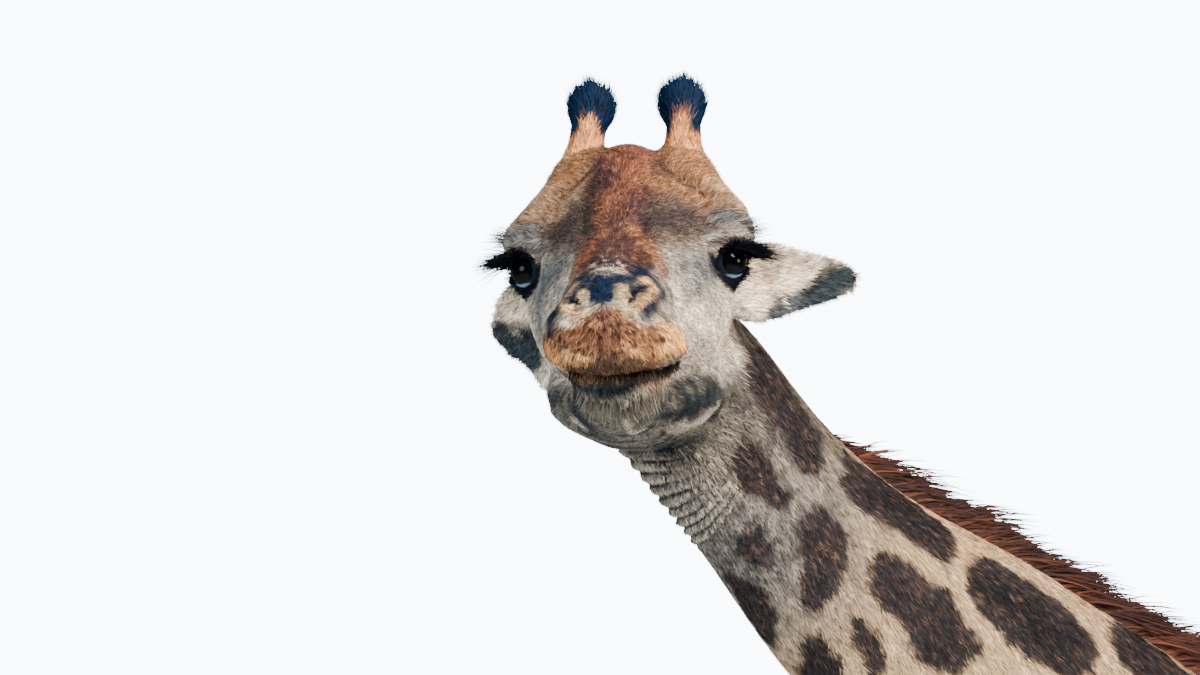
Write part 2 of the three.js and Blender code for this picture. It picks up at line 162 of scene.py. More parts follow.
class Loft:
    """A rounded section carried along a smooth line of stations.

    A station is x, y, z, above, below, half width, and the shares of that width near the top
    and the bottom. Up is the way "above" points, one for all or one for each station.
    """

    def __init__(self, stations, up=(0, 0, 1), power=2.3, start=0.02, end=0.02, level=False,
                 steps=NECK_STEPS, reach=0.25):
        rows = [list(row) + [1.0, 1.0][len(row) - 6:] for row in stations]
        line = smooth_line(rows, steps)
        ups = np.asarray(up, float)
        if ups.ndim == 1:
            ups = np.repeat(ups[None], len(rows), 0)
        self.centre = line[:, :3]
        self.size = line[:, 3:8]
        along = unit(np.gradient(self.centre, axis=0))
        if level:
            along = np.repeat(np.array([[0.0, 0.0, -1.0]]), len(line), 0)
        above = smooth_line(ups, steps)
        above = unit(above - np.sum(above * along, 1, keepdims=True) * along)
        self.along = along
        self.above = above
        self.side = np.cross(along, above)
        self.power = power
        self.caps = (start, end)
        self.level = level
        widest = self.size[:, :3].max() + reach
        self.low = self.centre.min(0) - widest
        self.high = self.centre.max(0) + widest

    def locate(self, points):
        """Where the points are along the line (in samples), and in its section."""
        last = len(self.centre) - 1
        if self.level:
            heights = self.centre[::-1, 2]
            along = last - np.interp(points[:, 2], heights, np.arange(last + 1.0))
            over = np.maximum(self.centre[last, 2] - points[:, 2], 0.0)
            over = np.maximum(over, points[:, 2] - self.centre[0, 2])
        else:
            nearest = np.empty(len(points), int)
            square = np.sum(self.centre ** 2, 1)
            for first in range(0, len(points), BATCH):
                part = points[first:first + BATCH]
                gaps = square - 2.0 * part @ self.centre.T
                nearest[first:first + BATCH] = np.argmin(gaps, 1)
            ahead = np.sum((points - self.centre[nearest]) * self.along[nearest], 1)
            other = np.clip(nearest + np.where(ahead > 0, 1, -1), 0, last)
            gap = np.linalg.norm(self.centre[other] - self.centre[nearest], axis=1)
            share = np.clip(np.abs(ahead) / np.maximum(gap, 1e-6), 0.0, 1.0)
            along = nearest + share * (other - nearest)
            outside = (other == nearest)
            over = np.where(outside, np.abs(ahead), 0.0)
        at = self.sampler(along)
        from_centre = points - at(self.centre)
        out = np.sum(from_centre * at(self.side), 1)
        high = np.sum(from_centre * at(self.above), 1)
        return along, over, out, high, at(self.size)

    def sampler(self, along):
        """What reads the line's own rows at these places, which are counted in samples."""
        first = np.clip(np.asarray(along).astype(int), 0, len(self.centre) - 2)
        share = (along - first)[..., None]
        return lambda rows: rows[first] * (1 - share) + rows[first + 1] * share

    def distance(self, points):
        result = np.full(len(points), FAR)
        near = np.all((points > self.low) & (points < self.high), 1)
        if near.any():
            result[near] = self.near_distance(points[near])
        return result

    def near_distance(self, points):
        along, over, out, high, size = self.locate(points)
        tall = np.where(high > 0, size[:, 0], size[:, 1])
        level = np.clip(high / tall, -1.0, 1.0)
        top, bottom = size[:, 3], size[:, 4]
        share = 1 + level * (top - bottom) / 1.4 + level ** 2 * ((top + bottom) / 2 - 1) / 0.49
        wide = size[:, 2] * np.maximum(share, 0.2)
        cap = np.where(along > 0.5 * len(self.centre), self.caps[1], self.caps[0])
        p = self.power
        a = (np.abs(out) / wide) ** p
        b = (np.abs(high) / tall) ** p
        c = (over / cap) ** p
        whole = np.maximum((a + b + c), 1e-9)
        rim = whole ** (1 / p)
        slope_a = (a / whole) ** (1 - 1 / p) / wide
        slope_b = (b / whole) ** (1 - 1 / p) / tall
        slope_c = (c / whole) ** (1 - 1 / p) / cap
        slope = np.sqrt(slope_a ** 2 + slope_b ** 2 + slope_c ** 2)
        return (rim - 1.0) / slope


def lump(points, centre, half):
    """A rounded lump with three half sizes."""
    near = (points - np.asarray(centre)) / np.asarray(half)
    rim = np.linalg.norm(near, axis=1)
    slope = np.linalg.norm(near / np.asarray(half), axis=1)
    return rim * (rim - 1.0) / np.maximum(slope, 1e-6)


def strand(points, rows):
    """A rounded strand along short straight lengths: rows of x, y, z, radius."""
    rows = np.asarray(rows, float)
    result = np.full(len(points), FAR)
    for start, end in zip(rows[:-1], rows[1:]):
        line = end[:3] - start[:3]
        share = np.clip((points - start[:3]) @ line / (line @ line), 0.0, 1.0)
        gap = np.linalg.norm(points - start[:3] - share[:, None] * line, axis=1)
        result = np.minimum(result, gap - start[3] - share * (end[3] - start[3]))
    return result


# The body's tables -------------------------------------------------------------------------

def along_body(rows):
    """Rows of y, top, bottom, half width and its shares, made stations."""
    out = []
    for y, top, bottom, half, wide_top, wide_bottom in rows:
        middle = (top + bottom) / 2
        out.append([0, y, middle, top - middle, middle - bottom, half, wide_top, wide_bottom])
    return out


def millimetres(rows, shares=6):
    """A table in millimetres, made metres; the shares of width stay as they are."""
    return [[v / 1000 if i < shares else v for i, v in enumerate(row)] for row in rows]


TRUNK = Loft(along_body([
    [-0.815, 2.215, 1.985, 0.080, 1, 1],
    [-0.755, 2.330, 1.850, 0.160, 0.9, 1],
    [-0.640, 2.480, 1.715, 0.222, 0.82, 0.95],
    [-0.470, WITHERS - 0.045, 1.620, 0.268, 0.66, 0.9],
    [-0.290, WITHERS, 1.572, 0.298, 0.58, 0.9],
    [-0.070, WITHERS - 0.075, 1.545, 0.322, 0.66, 0.92],
    [0.170, RUMP + 0.075, 1.550, 0.326, 0.76, 0.92],
    [0.400, RUMP + 0.010, 1.605, 0.300, 0.84, 0.85],
    [0.575, RUMP - 0.055, 1.690, 0.262, 0.86, 0.8],
    [0.720, RUMP - 0.155, 1.800, 0.205, 0.86, 0.8],
    [0.815, RUMP - 0.270, 1.910, 0.130, 1, 0.8],
]), start=0.022, end=0.040)

NECK_STATIONS = millimetres([
    [0, -260, 2050, 200, 200, 130, 0.8, 0.9],
    [0, -400, 2240, 400, 390, 222, 0.62, 0.9],
    [0, -550, 2440, 344, 340, 190, 0.62, 0.9],
    [0, -705, 2655, 292, 278, 160, 0.66, 0.92],
    [0, -870, 2880, 254, 234, 138, 0.7, 0.95],
    [0, -1045, 3100, 254, 204, 123, 0.72, 0.95],
    [0, -1250, 3288, 172, 184, 110, 0.76, 0.95],
    [-14, -1438, 3419, 121, 155, 98, 0.8, 0.95],
    [-27, -1558, 3521, 106, 132, 92, 0.85, 0.95],
    [-42, -1662, 3624, 116, 122, 96, 0.9, 0.95],
    [-50, -1736, 3716, 100, 98, 84, 0.9, 0.95],
])
NECK_TWIST = [0, 0, 0, 0, 0, 0, 0, 4, 14, 28, 40]
NECK_UP = [(-math.sin(math.radians(t)), 0.77 * math.cos(math.radians(t)), 0.64)
           for t in NECK_TWIST]
NECK = Loft(NECK_STATIONS, up=NECK_UP, start=0.020, end=0.090)

FORELEG = millimetres([
    [150, -520, 2230, 150, 150, 80],
    [182, -515, 2080, 178, 170, 104],
    [192, -500, 1920, 168, 165, 108],
    [188, -482, 1770, 135, 152, 99],
    [180, -472, 1640, 106, 126, 88],
    [172, -470, 1460, 86, 94, 73],
    [166, -476, 1250, 71, 75, 59],
    [162, -482, 1060, 62, 62, 51],
    [160, -486, 945, 66, 61, 55],
    [160, -488, 870, 71, 60, 58],
    [160, -485, 790, 57, 56, 50],
    [160, -480, 690, 47, 50, 42],
    [160, -478, 500, 43, 47, 38],
    [160, -478, 350, 44, 51, 39],
    [160, -480, 272, 51, 62, 47],
    [160, -492, 200, 47, 50, 43],
    [160, -502, 110, 57, 56, 52],
])
HINDLEG = millimetres([
    [120, 560, 2220, 170, 165, 80],
    [160, 565, 2080, 215, 215, 112],
    [174, 560, 1930, 218, 225, 124],
    [176, 545, 1780, 192, 205, 120],
    [172, 530, 1620, 160, 168, 104],
    [167, 545, 1480, 128, 126, 84],
    [162, 588, 1330, 92, 96, 66],
    [158, 640, 1180, 68, 80, 53],
    [156, 682, 1060, 60, 84, 48],
    [156, 700, 975, 64, 88, 52],
    [156, 704, 885, 60, 68, 50],
    [157, 698, 780, 50, 53, 43],
    [158, 692, 600, 45, 48, 38],
    [158, 686, 400, 45, 51, 38],
    [158, 682, 272, 51, 63, 46],
    [158, 668, 200, 47, 50, 42],
    [158, 658, 110, 57, 56, 51],
])
SWING_FROM = 1.900


def leg(stations, sideways, step):
    """A leg on one side, swung by the step towards its foot."""
    rows = []
    for x, y, z, *size in stations:
        swing = step * max(0.0, 1 - z / SWING_FROM)
        rows.append([sideways * x, y + swing, z] + size)
    return Loft(rows, up=(0, -1, 0), power=2.15, start=0.060, end=0.012, level=True)


LEGS = {
    "foreleg_left": leg(FORELEG, 1, -STEP),
    "foreleg_right": leg(FORELEG, -1, STEP),
    "hindleg_left": leg(HINDLEG, 1, STEP),
    "hindleg_right": leg(HINDLEG, -1, -STEP),
}

TAIL = Loft(millimetres([
    [0, 700, 2190, 70, 60, 60],
    [0, 790, 2170, 60, 60, 55],
    [0, 862, 2110, 44, 44, 42],
    [0, 905, 2010, 32, 32, 32],
    [0, 925, 1850, 25, 25, 25],
    [0, 930, 1650, 20, 20, 20],
    [0, 928, 1450, 18, 18, 18],
    [0, 924, 1350, 18, 18, 18],
    [0, 920, 1280, 14, 14, 14],
]), up=(0, 1, 0.3))


# The head's tables, in its own frame ---------------------------------------------------------

SKULL = Loft(millimetres(along_body([
    [-474, -30, -92, 48, 0.9, 0.95],
    [-452, -4, -110, 68, 0.78, 0.98],
    [-415, 14, -114, 77, 0.68, 0.98],
    [-370, 25, -108, 72, 0.68, 0.98],
    [-310, 38, -100, 64, 0.74, 1.02],
    [-240, 60, -102, 66, 0.76, 1.08],
    [-170, 88, -110, 80, 0.76, 1.04],
    [-105, 118, -120, 100, 0.7, 0.98],
    [-50, 142, -128, 114, 0.7, 0.94],
    [0, 164, -130, 119, 0.72, 0.94],
    [60, 175, -128, 115, 0.72, 0.96],
    [120, 158, -112, 101, 0.74, 0.98],
    [175, 124, -84, 84, 0.8, 1],
    [212, 84, -50, 64, 0.9, 1],
])), power=2.35, start=0.010, end=0.020)
JAW = Loft(millimetres(along_body([
    [-438, -92, -128, 38, 1, 0.9],
    [-412, -84, -148, 54, 1, 0.86],
    [-370, -80, -156, 56, 1, 0.8],
    [-290, -80, -158, 54, 1, 0.8],
    [-200, -84, -164, 62, 1, 0.8],
    [-110, -80, -172, 80, 1, 0.78],
    [-20, -60, -180, 98, 1, 0.76],
    [60, -40, -182, 102, 1, 0.76],
    [110, -30, -166, 94, 1, 0.8],
])), power=2.2, start=0.020, end=0.022)
HORN_SHIFT = (0.005, 0.006, 0.008, 0.009, 0.009)


EYE_SIDE = unit(np.cross(EYE_AXIS, (0.0, 0.0, 1.0)))
EYE_UP = np.cross(EYE_SIDE, EYE_AXIS)
LID = 0.0042
LID_ABOVE = 0.60
LID_BELOW = 0.66
LID_REACH = 0.94
EAR_SHARES = (-0.15, 0.00, 0.10, 0.20, 0.32, 0.45, 0.58, 0.70, 0.80, 0.90, 0.96, 1.00)
NARROW_EAR = (0.55, 0.80, 0.90, 0.92, 0.86, 0.74, 0.62, 0.52, 0.44, 0.32, 0.21, 0.11)
FULL_EAR = (0.55, 0.80, 0.90, 0.95, 0.99, 1.03, 1.06, 1.08, 1.06, 0.96, 0.80, 0.54)
EARS = (
    # root, tip, the way it opens, and its half width along it
    ((0.096, 0.104, 0.014), (0.243, 0.230, 0.009), (0.35, -1.0, -0.15), NARROW_EAR),
    ((-0.096, 0.104, 0.004), (-0.136, 0.250, -0.074), (-0.75, -0.75, -0.5), FULL_EAR),
)
EAR_WIDTH = 0.046
EAR_THICK = 0.0077


def ear_frame(root, tip, opening):
    """An ear's own axes: along it, across it, and the way it opens."""
    root, tip = np.asarray(root), np.asarray(tip)
    along = unit(tip - root)
    ahead = np.asarray(opening) - (np.asarray(opening) @ along) * along
    ahead = unit(ahead)
    return root, np.linalg.norm(tip - root), along, np.cross(along, ahead), ahead


def ear_place(points, ear):
    """Share of the way to the tip, share of the half width, that width, height and length."""
    root, length, along, across, ahead = ear_frame(*ear[:3])
    away = points - root
    share = away @ along / length
    inner = np.clip(share, -0.15, 1.0)
    half = EAR_WIDTH * np.interp(inner, EAR_SHARES, ear[3])
    return share, away @ across / half, half, away @ ahead, length


def ear_curl(share, half):
    """How far the rims stand forward of the ear's middle, less and less towards its tip."""
    return half * (0.85 - 0.65 * np.clip(share, 0.0, 1.0))


def on_ear(in_head):
    """Whether points of the skin belong to an ear, from the head's own frame."""
    found = np.zeros(len(in_head), bool)
    for ear in EARS:
        share, wide, half, high = ear_place(in_head, ear)[:4]
        off = np.abs(high - ear_curl(share, half) * np.clip(wide, -1, 1) ** 2)
        found |= (share > 0.10) & (share < 1.15) & (np.abs(wide) < 1.35) & (off < 0.016)
    return found


def ear_form(points, ear):
    """A curled sheet of even thickness."""
    share, wide, half, high, length = ear_place(points, ear)
    inner = np.clip(wide, -1.0, 1.0)
    curl = ear_curl(share, half)
    lean = 2 * curl * inner / half
    level = np.sqrt(1 + lean ** 2)
    off_sheet = (high - curl * inner ** 2) / level
    past_rim = np.maximum(np.abs(wide) - 1.0, 0.0) * half * level
    past_tip = np.maximum(share - 1.0, 0.0) * length
    past_root = np.maximum(-0.12 - share, 0.0) * length
    off = np.sqrt(off_sheet ** 2 + past_rim ** 2 + past_tip ** 2 + past_root ** 2)
    return off - EAR_THICK * (1.06 - 0.06 * np.clip(share, 0, 1))


def eye_place(both):
    """Round the eye: the share of a turn ahead or behind, up or down, and the way out."""
    away = both - EYE_AT
    reach = np.linalg.norm(away, axis=1)
    way = away / np.maximum(reach, 1e-6)[:, None]
    return way @ EYE_SIDE, way @ EYE_UP, way @ EYE_AXIS, reach


def lids(form, both):
    """A lid ring round each eyeball, opened to an almond."""
    ahead, up, out, reach = eye_place(both)
    shell = reach - EYE_RADIUS - LID
    form = blend(form, shell, 0.016)
    arch = np.maximum(1.0 - (ahead / LID_REACH) ** 2, 0.0)
    above = up - (LID_ABOVE * arch ** 0.8 + 0.04 * ahead)
    below = -LID_BELOW * arch ** 0.9 - 0.08 * ahead - up
    beside = np.abs(ahead) - LID_REACH
    gap = np.maximum(np.maximum(above, below), beside) * EYE_RADIUS
    gap = np.maximum(gap, (0.15 - out) * EYE_RADIUS)
    gap = np.maximum(gap, 0.80 * EYE_RADIUS - reach)
    gap = np.maximum(gap, reach - EYE_RADIUS - 2.5 * LID)
    return carve(form, gap, 0.0028)


def seen_flat(points):
    """The points laid flat across the face, with nothing along the head."""
    return points * np.array([1.0, 0.0, 1.0])


def flat_rows(rows):
    """A line across the face, from rows of x, z and half width in millimetres."""
    return [(x / 1000, 0.0, z / 1000, half / 1000) for x, z, half in rows]


def between(values, start, end, soft):
    """One from the start to the end, both in millimetres, fading to nothing outside."""
    start, end = start / 1000, end / 1000
    return smooth_step(start - soft, start, values) * smooth_step(end + soft, end, values)


FACE_FOLDS = (
    # how deep (a fold stands out below nothing), how soft, from and to along the head, and the
    # line across the face, as x, z and half width, all in millimetres
    (2.4, 4, -110, 60, ((90, 80, 1), (113, 88, 1), (133, 83, 1))),
    (2.4, 4, -110, 60, ((90, 71, 1), (113, 79, 1), (138, 74, 1))),
    (2.0, 4, -110, 60, ((92, 63, 1), (113, 71, 1), (140, 66, 1))),
    (2.4, 4, -110, 60, ((-88, 80, 1), (-109, 84, 1), (-126, 76, 1))),
    (2.4, 4, -110, 60, ((-88, 71, 1), (-109, 76, 1), (-130, 68, 1))),
    (-3.5, 15, -130, 60, ((50, 156, 3), (82, 134, 4), (106, 108, 3), (124, 92, 2))),
    (-3.5, 15, -130, 60, ((-40, 156, 3), (-62, 134, 4), (-86, 108, 3), (-108, 90, 2))),
    (3.0, 7, -130, 60, ((38, 146, 1), (61, 126, 1), (84, 111, 1))),
    (3.0, 7, -130, 60, ((-28, 148, 1), (-52, 126, 1), (-76, 106, 1))),
    (4.0, 9, -230, -90, ((-36, 98, 1), (-34, 66, 1))),
    (3.5, 9, -230, -90, ((28, 94, 1), (34, 62, 1))),
    (-3.0, 8, -400, -200, ((-15, 61, 2), (-32, 39, 2), (-43, 20, 2))),
    (-3.0, 8, -400, -200, ((21, 65, 2), (39, 43, 3), (52, 22, 2))),
    (3.0, 5, -500, -380, ((-58, -46, 1), (-48, -55, 1), (-36, -57, 1))),
    (3.0, 5, -500, -380, ((40, -36, 1), (54, -42, 1), (66, -39, 1))),
    (-3.0, 12, -500, -380, ((-50, -44, 6), (-46, -44, 6))),
    (-4.0, 14, -500, -380, ((66, -42, 6), (72, -42, 6))),
    (-4.0, 14, -500, -380, ((-56, -70, 3), (-20, -84, 4), (20, -84, 4), (62, -72, 4),
                            (80, -64, 3))),
    (-3.2, 5, -500, -400, ((-31, 7, 2), (-39, 0, 2), (-42, -11, 1))),
    (-3.2, 5, -500, -400, ((-43, -18, 2), (-32, -26, 2), (-24, -31, 2))),
    (-3.4, 5, -500, -400, ((-21, -4, 4), (-21, -16, 3), (-22, -27, 2))),
    (-3.4, 5, -500, -400, ((19, -2, 5), (21, -16, 4), (25, -26, 3))),
    (-3.2, 5, -500, -400, ((35, 10, 2), (43, 3, 2), (40, -6, 1))),
    (-3.2, 5, -500, -400, ((45, -9, 2), (36, -18, 2), (27, -27, 2))),
    (-5.5, 4, -470, -300, ((17, -126, 4), (20, -152, 5), (23, -170, 5))),
    (3.0, 5, -230, 0, ((62, -114, 1), (83, -118, 1), (102, -113, 1))),
    (-3.0, 6, -230, 0, ((46, -156, 2), (74, -146, 2), (94, -130, 2))),
    (3.0, 5, -230, 0, ((44, -164, 1), (78, -156, 1), (100, -138, 1))),
    (-3.0, 6, -230, 0, ((-46, -156, 2), (-74, -146, 2), (-94, -130, 2))),
    (-3.5, 5, -90, 40, ((117, -96, 2), (120, -118, 2), (111, -140, 2), (98, -156, 2))),
    (-3.0, 14, -300, -60, ((80, -28, 4), (97, -56, 4), (108, -82, 4))),
    (-3.0, 14, -300, -60, ((-80, -28, 4), (-94, -56, 4), (-102, -82, 4))),
)


def face_folds(points):
    """How far the folds and furrows of the face press in, or stand out below nothing."""
    flat = seen_flat(points)
    total = np.zeros(len(points))
    for depth, soft, start, end, rows in FACE_FOLDS:
        along = between(points[:, 1], start, end, 0.020)
        near = np.where(along > 0)[0]
        gap = strand(flat[near], flat_rows(rows))
        total[near] += depth / 1000 * along[near] * smooth_step(soft / 1000, 0.0, gap)
    return total


HORN_ROOT = ((0.068, 0.030, 0.090, 0.050), (0.061, 0.066, 0.130, 0.037),
             (0.057, 0.088, 0.158, 0.026))
NOSTRILS = (
    ((0.041, -0.458, 0.003, 0.0026), (0.034, -0.466, -0.008, 0.0050),
     (0.026, -0.472, -0.017, 0.0030), (0.030, -0.458, -0.012, 0.0050)),
    ((-0.040, -0.460, 0.000, 0.0026), (-0.034, -0.467, -0.010, 0.0050),
     (-0.026, -0.472, -0.019, 0.0030), (-0.030, -0.458, -0.014, 0.0050)),
)
MOUTH = ((0.070, -0.300, -0.086), (0.080, -0.360, -0.082), (0.081, -0.405, -0.080),
         (0.060, -0.440, -0.090), (0.028, -0.458, -0.100), (-0.004, -0.462, -0.104),
         (-0.034, -0.456, -0.098), (-0.058, -0.438, -0.088), (-0.072, -0.405, -0.080),
         (-0.072, -0.360, -0.082), (-0.066, -0.300, -0.086))
MOUTH_SWING = 0.012


def head_form(points):
    """The head's flesh, from points in the head's own frame."""
    low = smooth_step(-0.02, -0.10, points[:, 2]) * smooth_step(-0.28, -0.42, points[:, 1])
    swung = points.copy()
    swung[:, 0] -= MOUTH_SWING * low
    both = mirrored(points)
    form = SKULL.distance(swung)
    form = blend(form, JAW.distance(swung), 0.020)
    form = blend(form, lump(both, (0.100, 0.024, 0.064), (0.046, 0.076, 0.036)), 0.030)
    form = blend(form, strand(mirrored(points - [HORN_SHIFT[0], 0, 0]), HORN_ROOT), 0.034)
    groove = strand(both, ((0.058, -0.10, 0.118, 0.010), (0.040, -0.20, 0.092, 0.008),
                           (0.052, -0.33, 0.046, 0.006)))
    form = form + 0.006 * np.clip(1.0 - groove / 0.022, 0.0, 1.0) ** 2
    form = form + face_folds(points)
    form = carve(form, lump(both, (0.130, -0.064, 0.024), (0.028, 0.042, 0.028)), 0.026)
    form = lids(form, both)
    for row in NOSTRILS:
        form = carve(form, strand(points, row), 0.003)
    lips = strand(points, [row + (0.0065,) for row in MOUTH])
    form = carve(form, lips, 0.010)
    for ear in EARS:
        form = blend(form, ear_form(points, ear), 0.016)
    return form


def body_form(points):
    """The whole animal's flesh, out to the tips of the coat."""
    form = NECK.distance(points)
    form = blend(form, TRUNK.distance(points), 0.20)
    for one in LEGS.values():
        form = blend(form, one.distance(points), 0.11)
    form = blend(form, TAIL.distance(points), 0.03)
    return form


HEAD_ROOM = 0.75
THROAT_AT = np.array([-0.02, -1.70, 3.49])
THROAT_ROOM = 0.30
RING_FROM = np.array([0.087, -1.797, 3.604])
RING_SIDE = np.array([0.574, 0.819, 0.0])
RING_UP = np.array([0.107, -0.075, 0.992])
RING_STEP = 0.0138
RING_FLARE = 0.45
RING_LEAST = 0.034
RING_DEPTH = 0.0044
RINGS_START = 0.064
RINGS_END = 0.205


def throat_folds(points):
    """The slack rings of skin under the jaw, hung one below another.

    It gives how far they press in, how furrowed each point is, and how far down it hangs.
    """
    away = points - RING_FROM
    across, down = away @ RING_SIDE, -(away @ RING_UP)
    across = np.where(across > 0, across, 0.25 * across)
    ring = np.maximum(down, 0.06)
    for _ in range(4):
        ring = np.sqrt((across * ring / (RING_FLARE * ring + RING_LEAST)) ** 2 + down ** 2)
    level = np.clip(down / ring, 0, 1) ** 2
    run = smooth_step(RINGS_START, 0.072, ring) * smooth_step(RINGS_END, 0.185, ring)
    run = run * smooth_step(0.0, 0.04, down)
    run = run * smooth_step(THROAT_ROOM, 0.24, np.linalg.norm(away, axis=1))
    uneven = ring + 0.0022 * cloud(points, 0.045, 43)
    furrow = (0.5 + 0.5 * np.cos(2 * math.pi * uneven / RING_STEP)) ** 2
    press = run * RING_DEPTH * (0.35 + 0.65 * level) * (furrow - 0.4)
    return press, run * furrow * (0.5 + 0.5 * level), ring


def flesh(points):
    """The body's and the head's flesh, grown together, with the folds of the throat."""
    form = body_form(points)
    near_head = away_from(HEAD_AT, points) < HEAD_ROOM
    if near_head.any():
        head = head_form(to_head(points[near_head]))
        form[near_head] = blend(form[near_head], head, 0.050)
        near_throat = np.where(away_from(THROAT_AT, points) < THROAT_ROOM)[0]
        form[near_throat] += throat_folds(points[near_throat])[0]
    return form


def skin_form(points):
    """The skin, which lies inside the flesh's outline by the depth of the coat."""
    depth = COAT_DEPTH_FACE + (COAT_DEPTH_BODY - COAT_DEPTH_FACE) * smooth_step(
        0.5, 1.0, away_from(HEAD_AT, points))
    return flesh(points) + depth


# Skin from forms ---------------------------------------------------------------------------

BRICK = 4
BRICK_REACH = 4.6


def windows(offset, count):
    """The part of a lattice that starts this far in and holds this many."""
    return tuple(slice(start, start + n) for start, n in zip(offset, count))


class Block:
    """A turned box of small cells, over which the skin is drawn, first brick by brick."""

    def __init__(self, centre, half, cell, turned=None):
        self.turned = np.eye(3) if turned is None else np.asarray(turned)
        self.cell = cell
        self.count = (2 * np.ceil(np.asarray(half) / (BRICK * cell)) * BRICK).astype(int)
        self.corner = -0.5 * self.count * cell
        self.centre = np.asarray(centre, float)

    def world(self, grid):
        """Where places of the lattice lie in the body's frame."""
        return (grid * self.cell + self.corner) @ self.turned.T + self.centre

    def draw(self, form):
        """Corners and four-sided faces of the form's surface in this block."""
        coarse_count = self.count // BRICK + 1
        coarse = np.stack(np.meshgrid(*[np.arange(n) for n in coarse_count], indexing="ij"), -1)
        rough = form(self.world(coarse.reshape(-1, 3) * BRICK)).reshape(coarse_count)
        lowest = np.full(coarse_count - 1, np.inf)
        for offset in CORNERS:
            lowest = np.minimum(lowest, np.abs(rough[windows(offset, coarse_count - 1)]))
        wanted = np.zeros(self.count + 1, bool)
        for brick in np.argwhere(lowest < BRICK_REACH * self.cell) * BRICK:
            wanted[tuple(slice(at, at + BRICK + 1) for at in brick)] = True
        value = rough
        for axis in range(3):
            value = np.repeat(value, BRICK, axis)
        value = value[windows((0, 0, 0), self.count + 1)].copy()
        value[wanted] = form(self.world(np.argwhere(wanted)))
        return self.surface(value, wanted)

    def surface(self, value, wanted):
        """One corner in each cell that the surface crosses, and a face over each crossed edge."""
        inside = value < 0
        n = self.count
        some = np.zeros(n, bool)
        every = np.ones(n, bool)
        known = np.ones(n, bool)
        for offset in CORNERS:
            window = windows(offset, n)
            some |= inside[window]
            every &= inside[window]
            known &= wanted[window]
        crossed = some & ~every & known
        cells = np.argwhere(crossed)
        number = np.full(n, -1, np.int32)
        number[crossed] = np.arange(len(cells))
        total = np.zeros((len(cells), 3))
        weight = np.zeros(len(cells))
        steps = np.eye(3, dtype=int)
        for a in np.array(CORNERS):
            for step in steps[a == 0]:
                at_a = value[tuple((cells + a).T)]
                at_b = value[tuple((cells + a + step).T)]
                cross = (at_a < 0) != (at_b < 0)
                share = at_a / np.where(cross, at_a - at_b, 1.0)
                place = a + share[:, None] * step
                total[cross] += place[cross]
                weight[cross] += 1
        corners = self.world(cells + total / weight[:, None])
        faces = []
        for axis in range(3):
            step_u, step_v = steps[(axis + 1) % 3], steps[(axis + 2) % 3]
            low = [slice(1, -1)] * 3
            low[axis] = slice(0, -1)
            high = list(low)
            high[axis] = slice(1, None)
            edge = np.zeros(n + 1, bool)
            edge[tuple(low)] = inside[tuple(low)] != inside[tuple(high)]
            at = np.argwhere(edge)
            four = [at - step_u - step_v, at - step_v, at, at - step_u]
            quad = np.stack([number[tuple(np.minimum(c, n - 1).T)] for c in four], 1)
            good = (quad >= 0).all(1) & (at < n).all(1)
            quad = quad[good]
            flip = ~inside[tuple(at[good].T)]
            quad[flip] = quad[flip][:, ::-1]
            faces.append(quad)
        return corners, np.vstack(faces)


def slope_of(form, points, reach):
    """Which way the form falls off, at each point, and its value there."""
    here = form(points)
    slopes = np.empty_like(points)
    for axis in range(3):
        moved = points.copy()
        moved[:, axis] += reach
        slopes[:, axis] = (form(moved) - here) / reach
    return here, slopes


def settle(form, points, reach, times=2):
    """Move points onto the form's surface."""
    for _ in range(times):
        here, slopes = slope_of(form, points, reach)
        step = here / np.maximum(np.sum(slopes * slopes, 1), 0.25)
        step = np.clip(step, -2 * reach, 2 * reach)
        points = points - step[:, None] * slopes
    return points


def relax(form, points, edges, still, reach, times=3):
    """Even out the spacing of the corners, which stay on the form."""
    first, second = edges[:, 0], edges[:, 1]
    count = np.bincount(edges.ravel(), minlength=len(points)).astype(float)
    count = np.maximum(count, 1.0)[:, None]
    for _ in range(times):
        total = np.zeros_like(points)
        for axis in range(3):
            total[:, axis] = np.bincount(first, points[second, axis], len(points))
            total[:, axis] += np.bincount(second, points[first, axis], len(points))
        moved = points + 0.6 * (total / count - points)
        moved[still] = points[still]
        points = moved
    return settle(form, points, reach, 2)


def edges_of(faces):
    """Each edge of four-sided faces once, as a pair of corners."""
    pairs = np.vstack([faces[:, [i, (i + 1) % 4]] for i in range(4)])
    pairs = np.sort(pairs, 1)
    keys = np.unique(pairs[:, 0].astype(np.int64) * MOST_CORNERS + pairs[:, 1])
    return np.stack([keys // MOST_CORNERS, keys % MOST_CORNERS], 1)


def new_mesh(name, corners, faces):
    """A new mesh from corners and faces that all have as many sides."""
    mesh = bpy.data.meshes.new(name)
    faces = np.asarray(faces, np.int32)
    sides = faces.shape[1]
    mesh.vertices.add(len(corners))
    mesh.vertices.foreach_set("co", np.asarray(corners, np.float32).ravel())
    mesh.loops.add(faces.size)
    mesh.loops.foreach_set("vertex_index", faces.ravel())
    mesh.polygons.add(len(faces))
    mesh.polygons.foreach_set("loop_start", np.arange(len(faces), dtype=np.int32) * sides)
    mesh.update(calc_edges=True)
    return mesh


@contextmanager
def edited(mesh):
    """The mesh as one that can be cut and joined, written back when that is done."""
    bm = bmesh.new()
    bm.from_mesh(mesh)
    yield bm
    bm.to_mesh(mesh)
    bm.free()


def slender(places):
    """Where the tail hangs, too thin for its corners to be evened out."""
    return ((places[:, 1] > 0.86) & (np.abs(places[:, 0]) < 0.07)
            & (places[:, 2] > 1.2) & (places[:, 2] < 2.06))


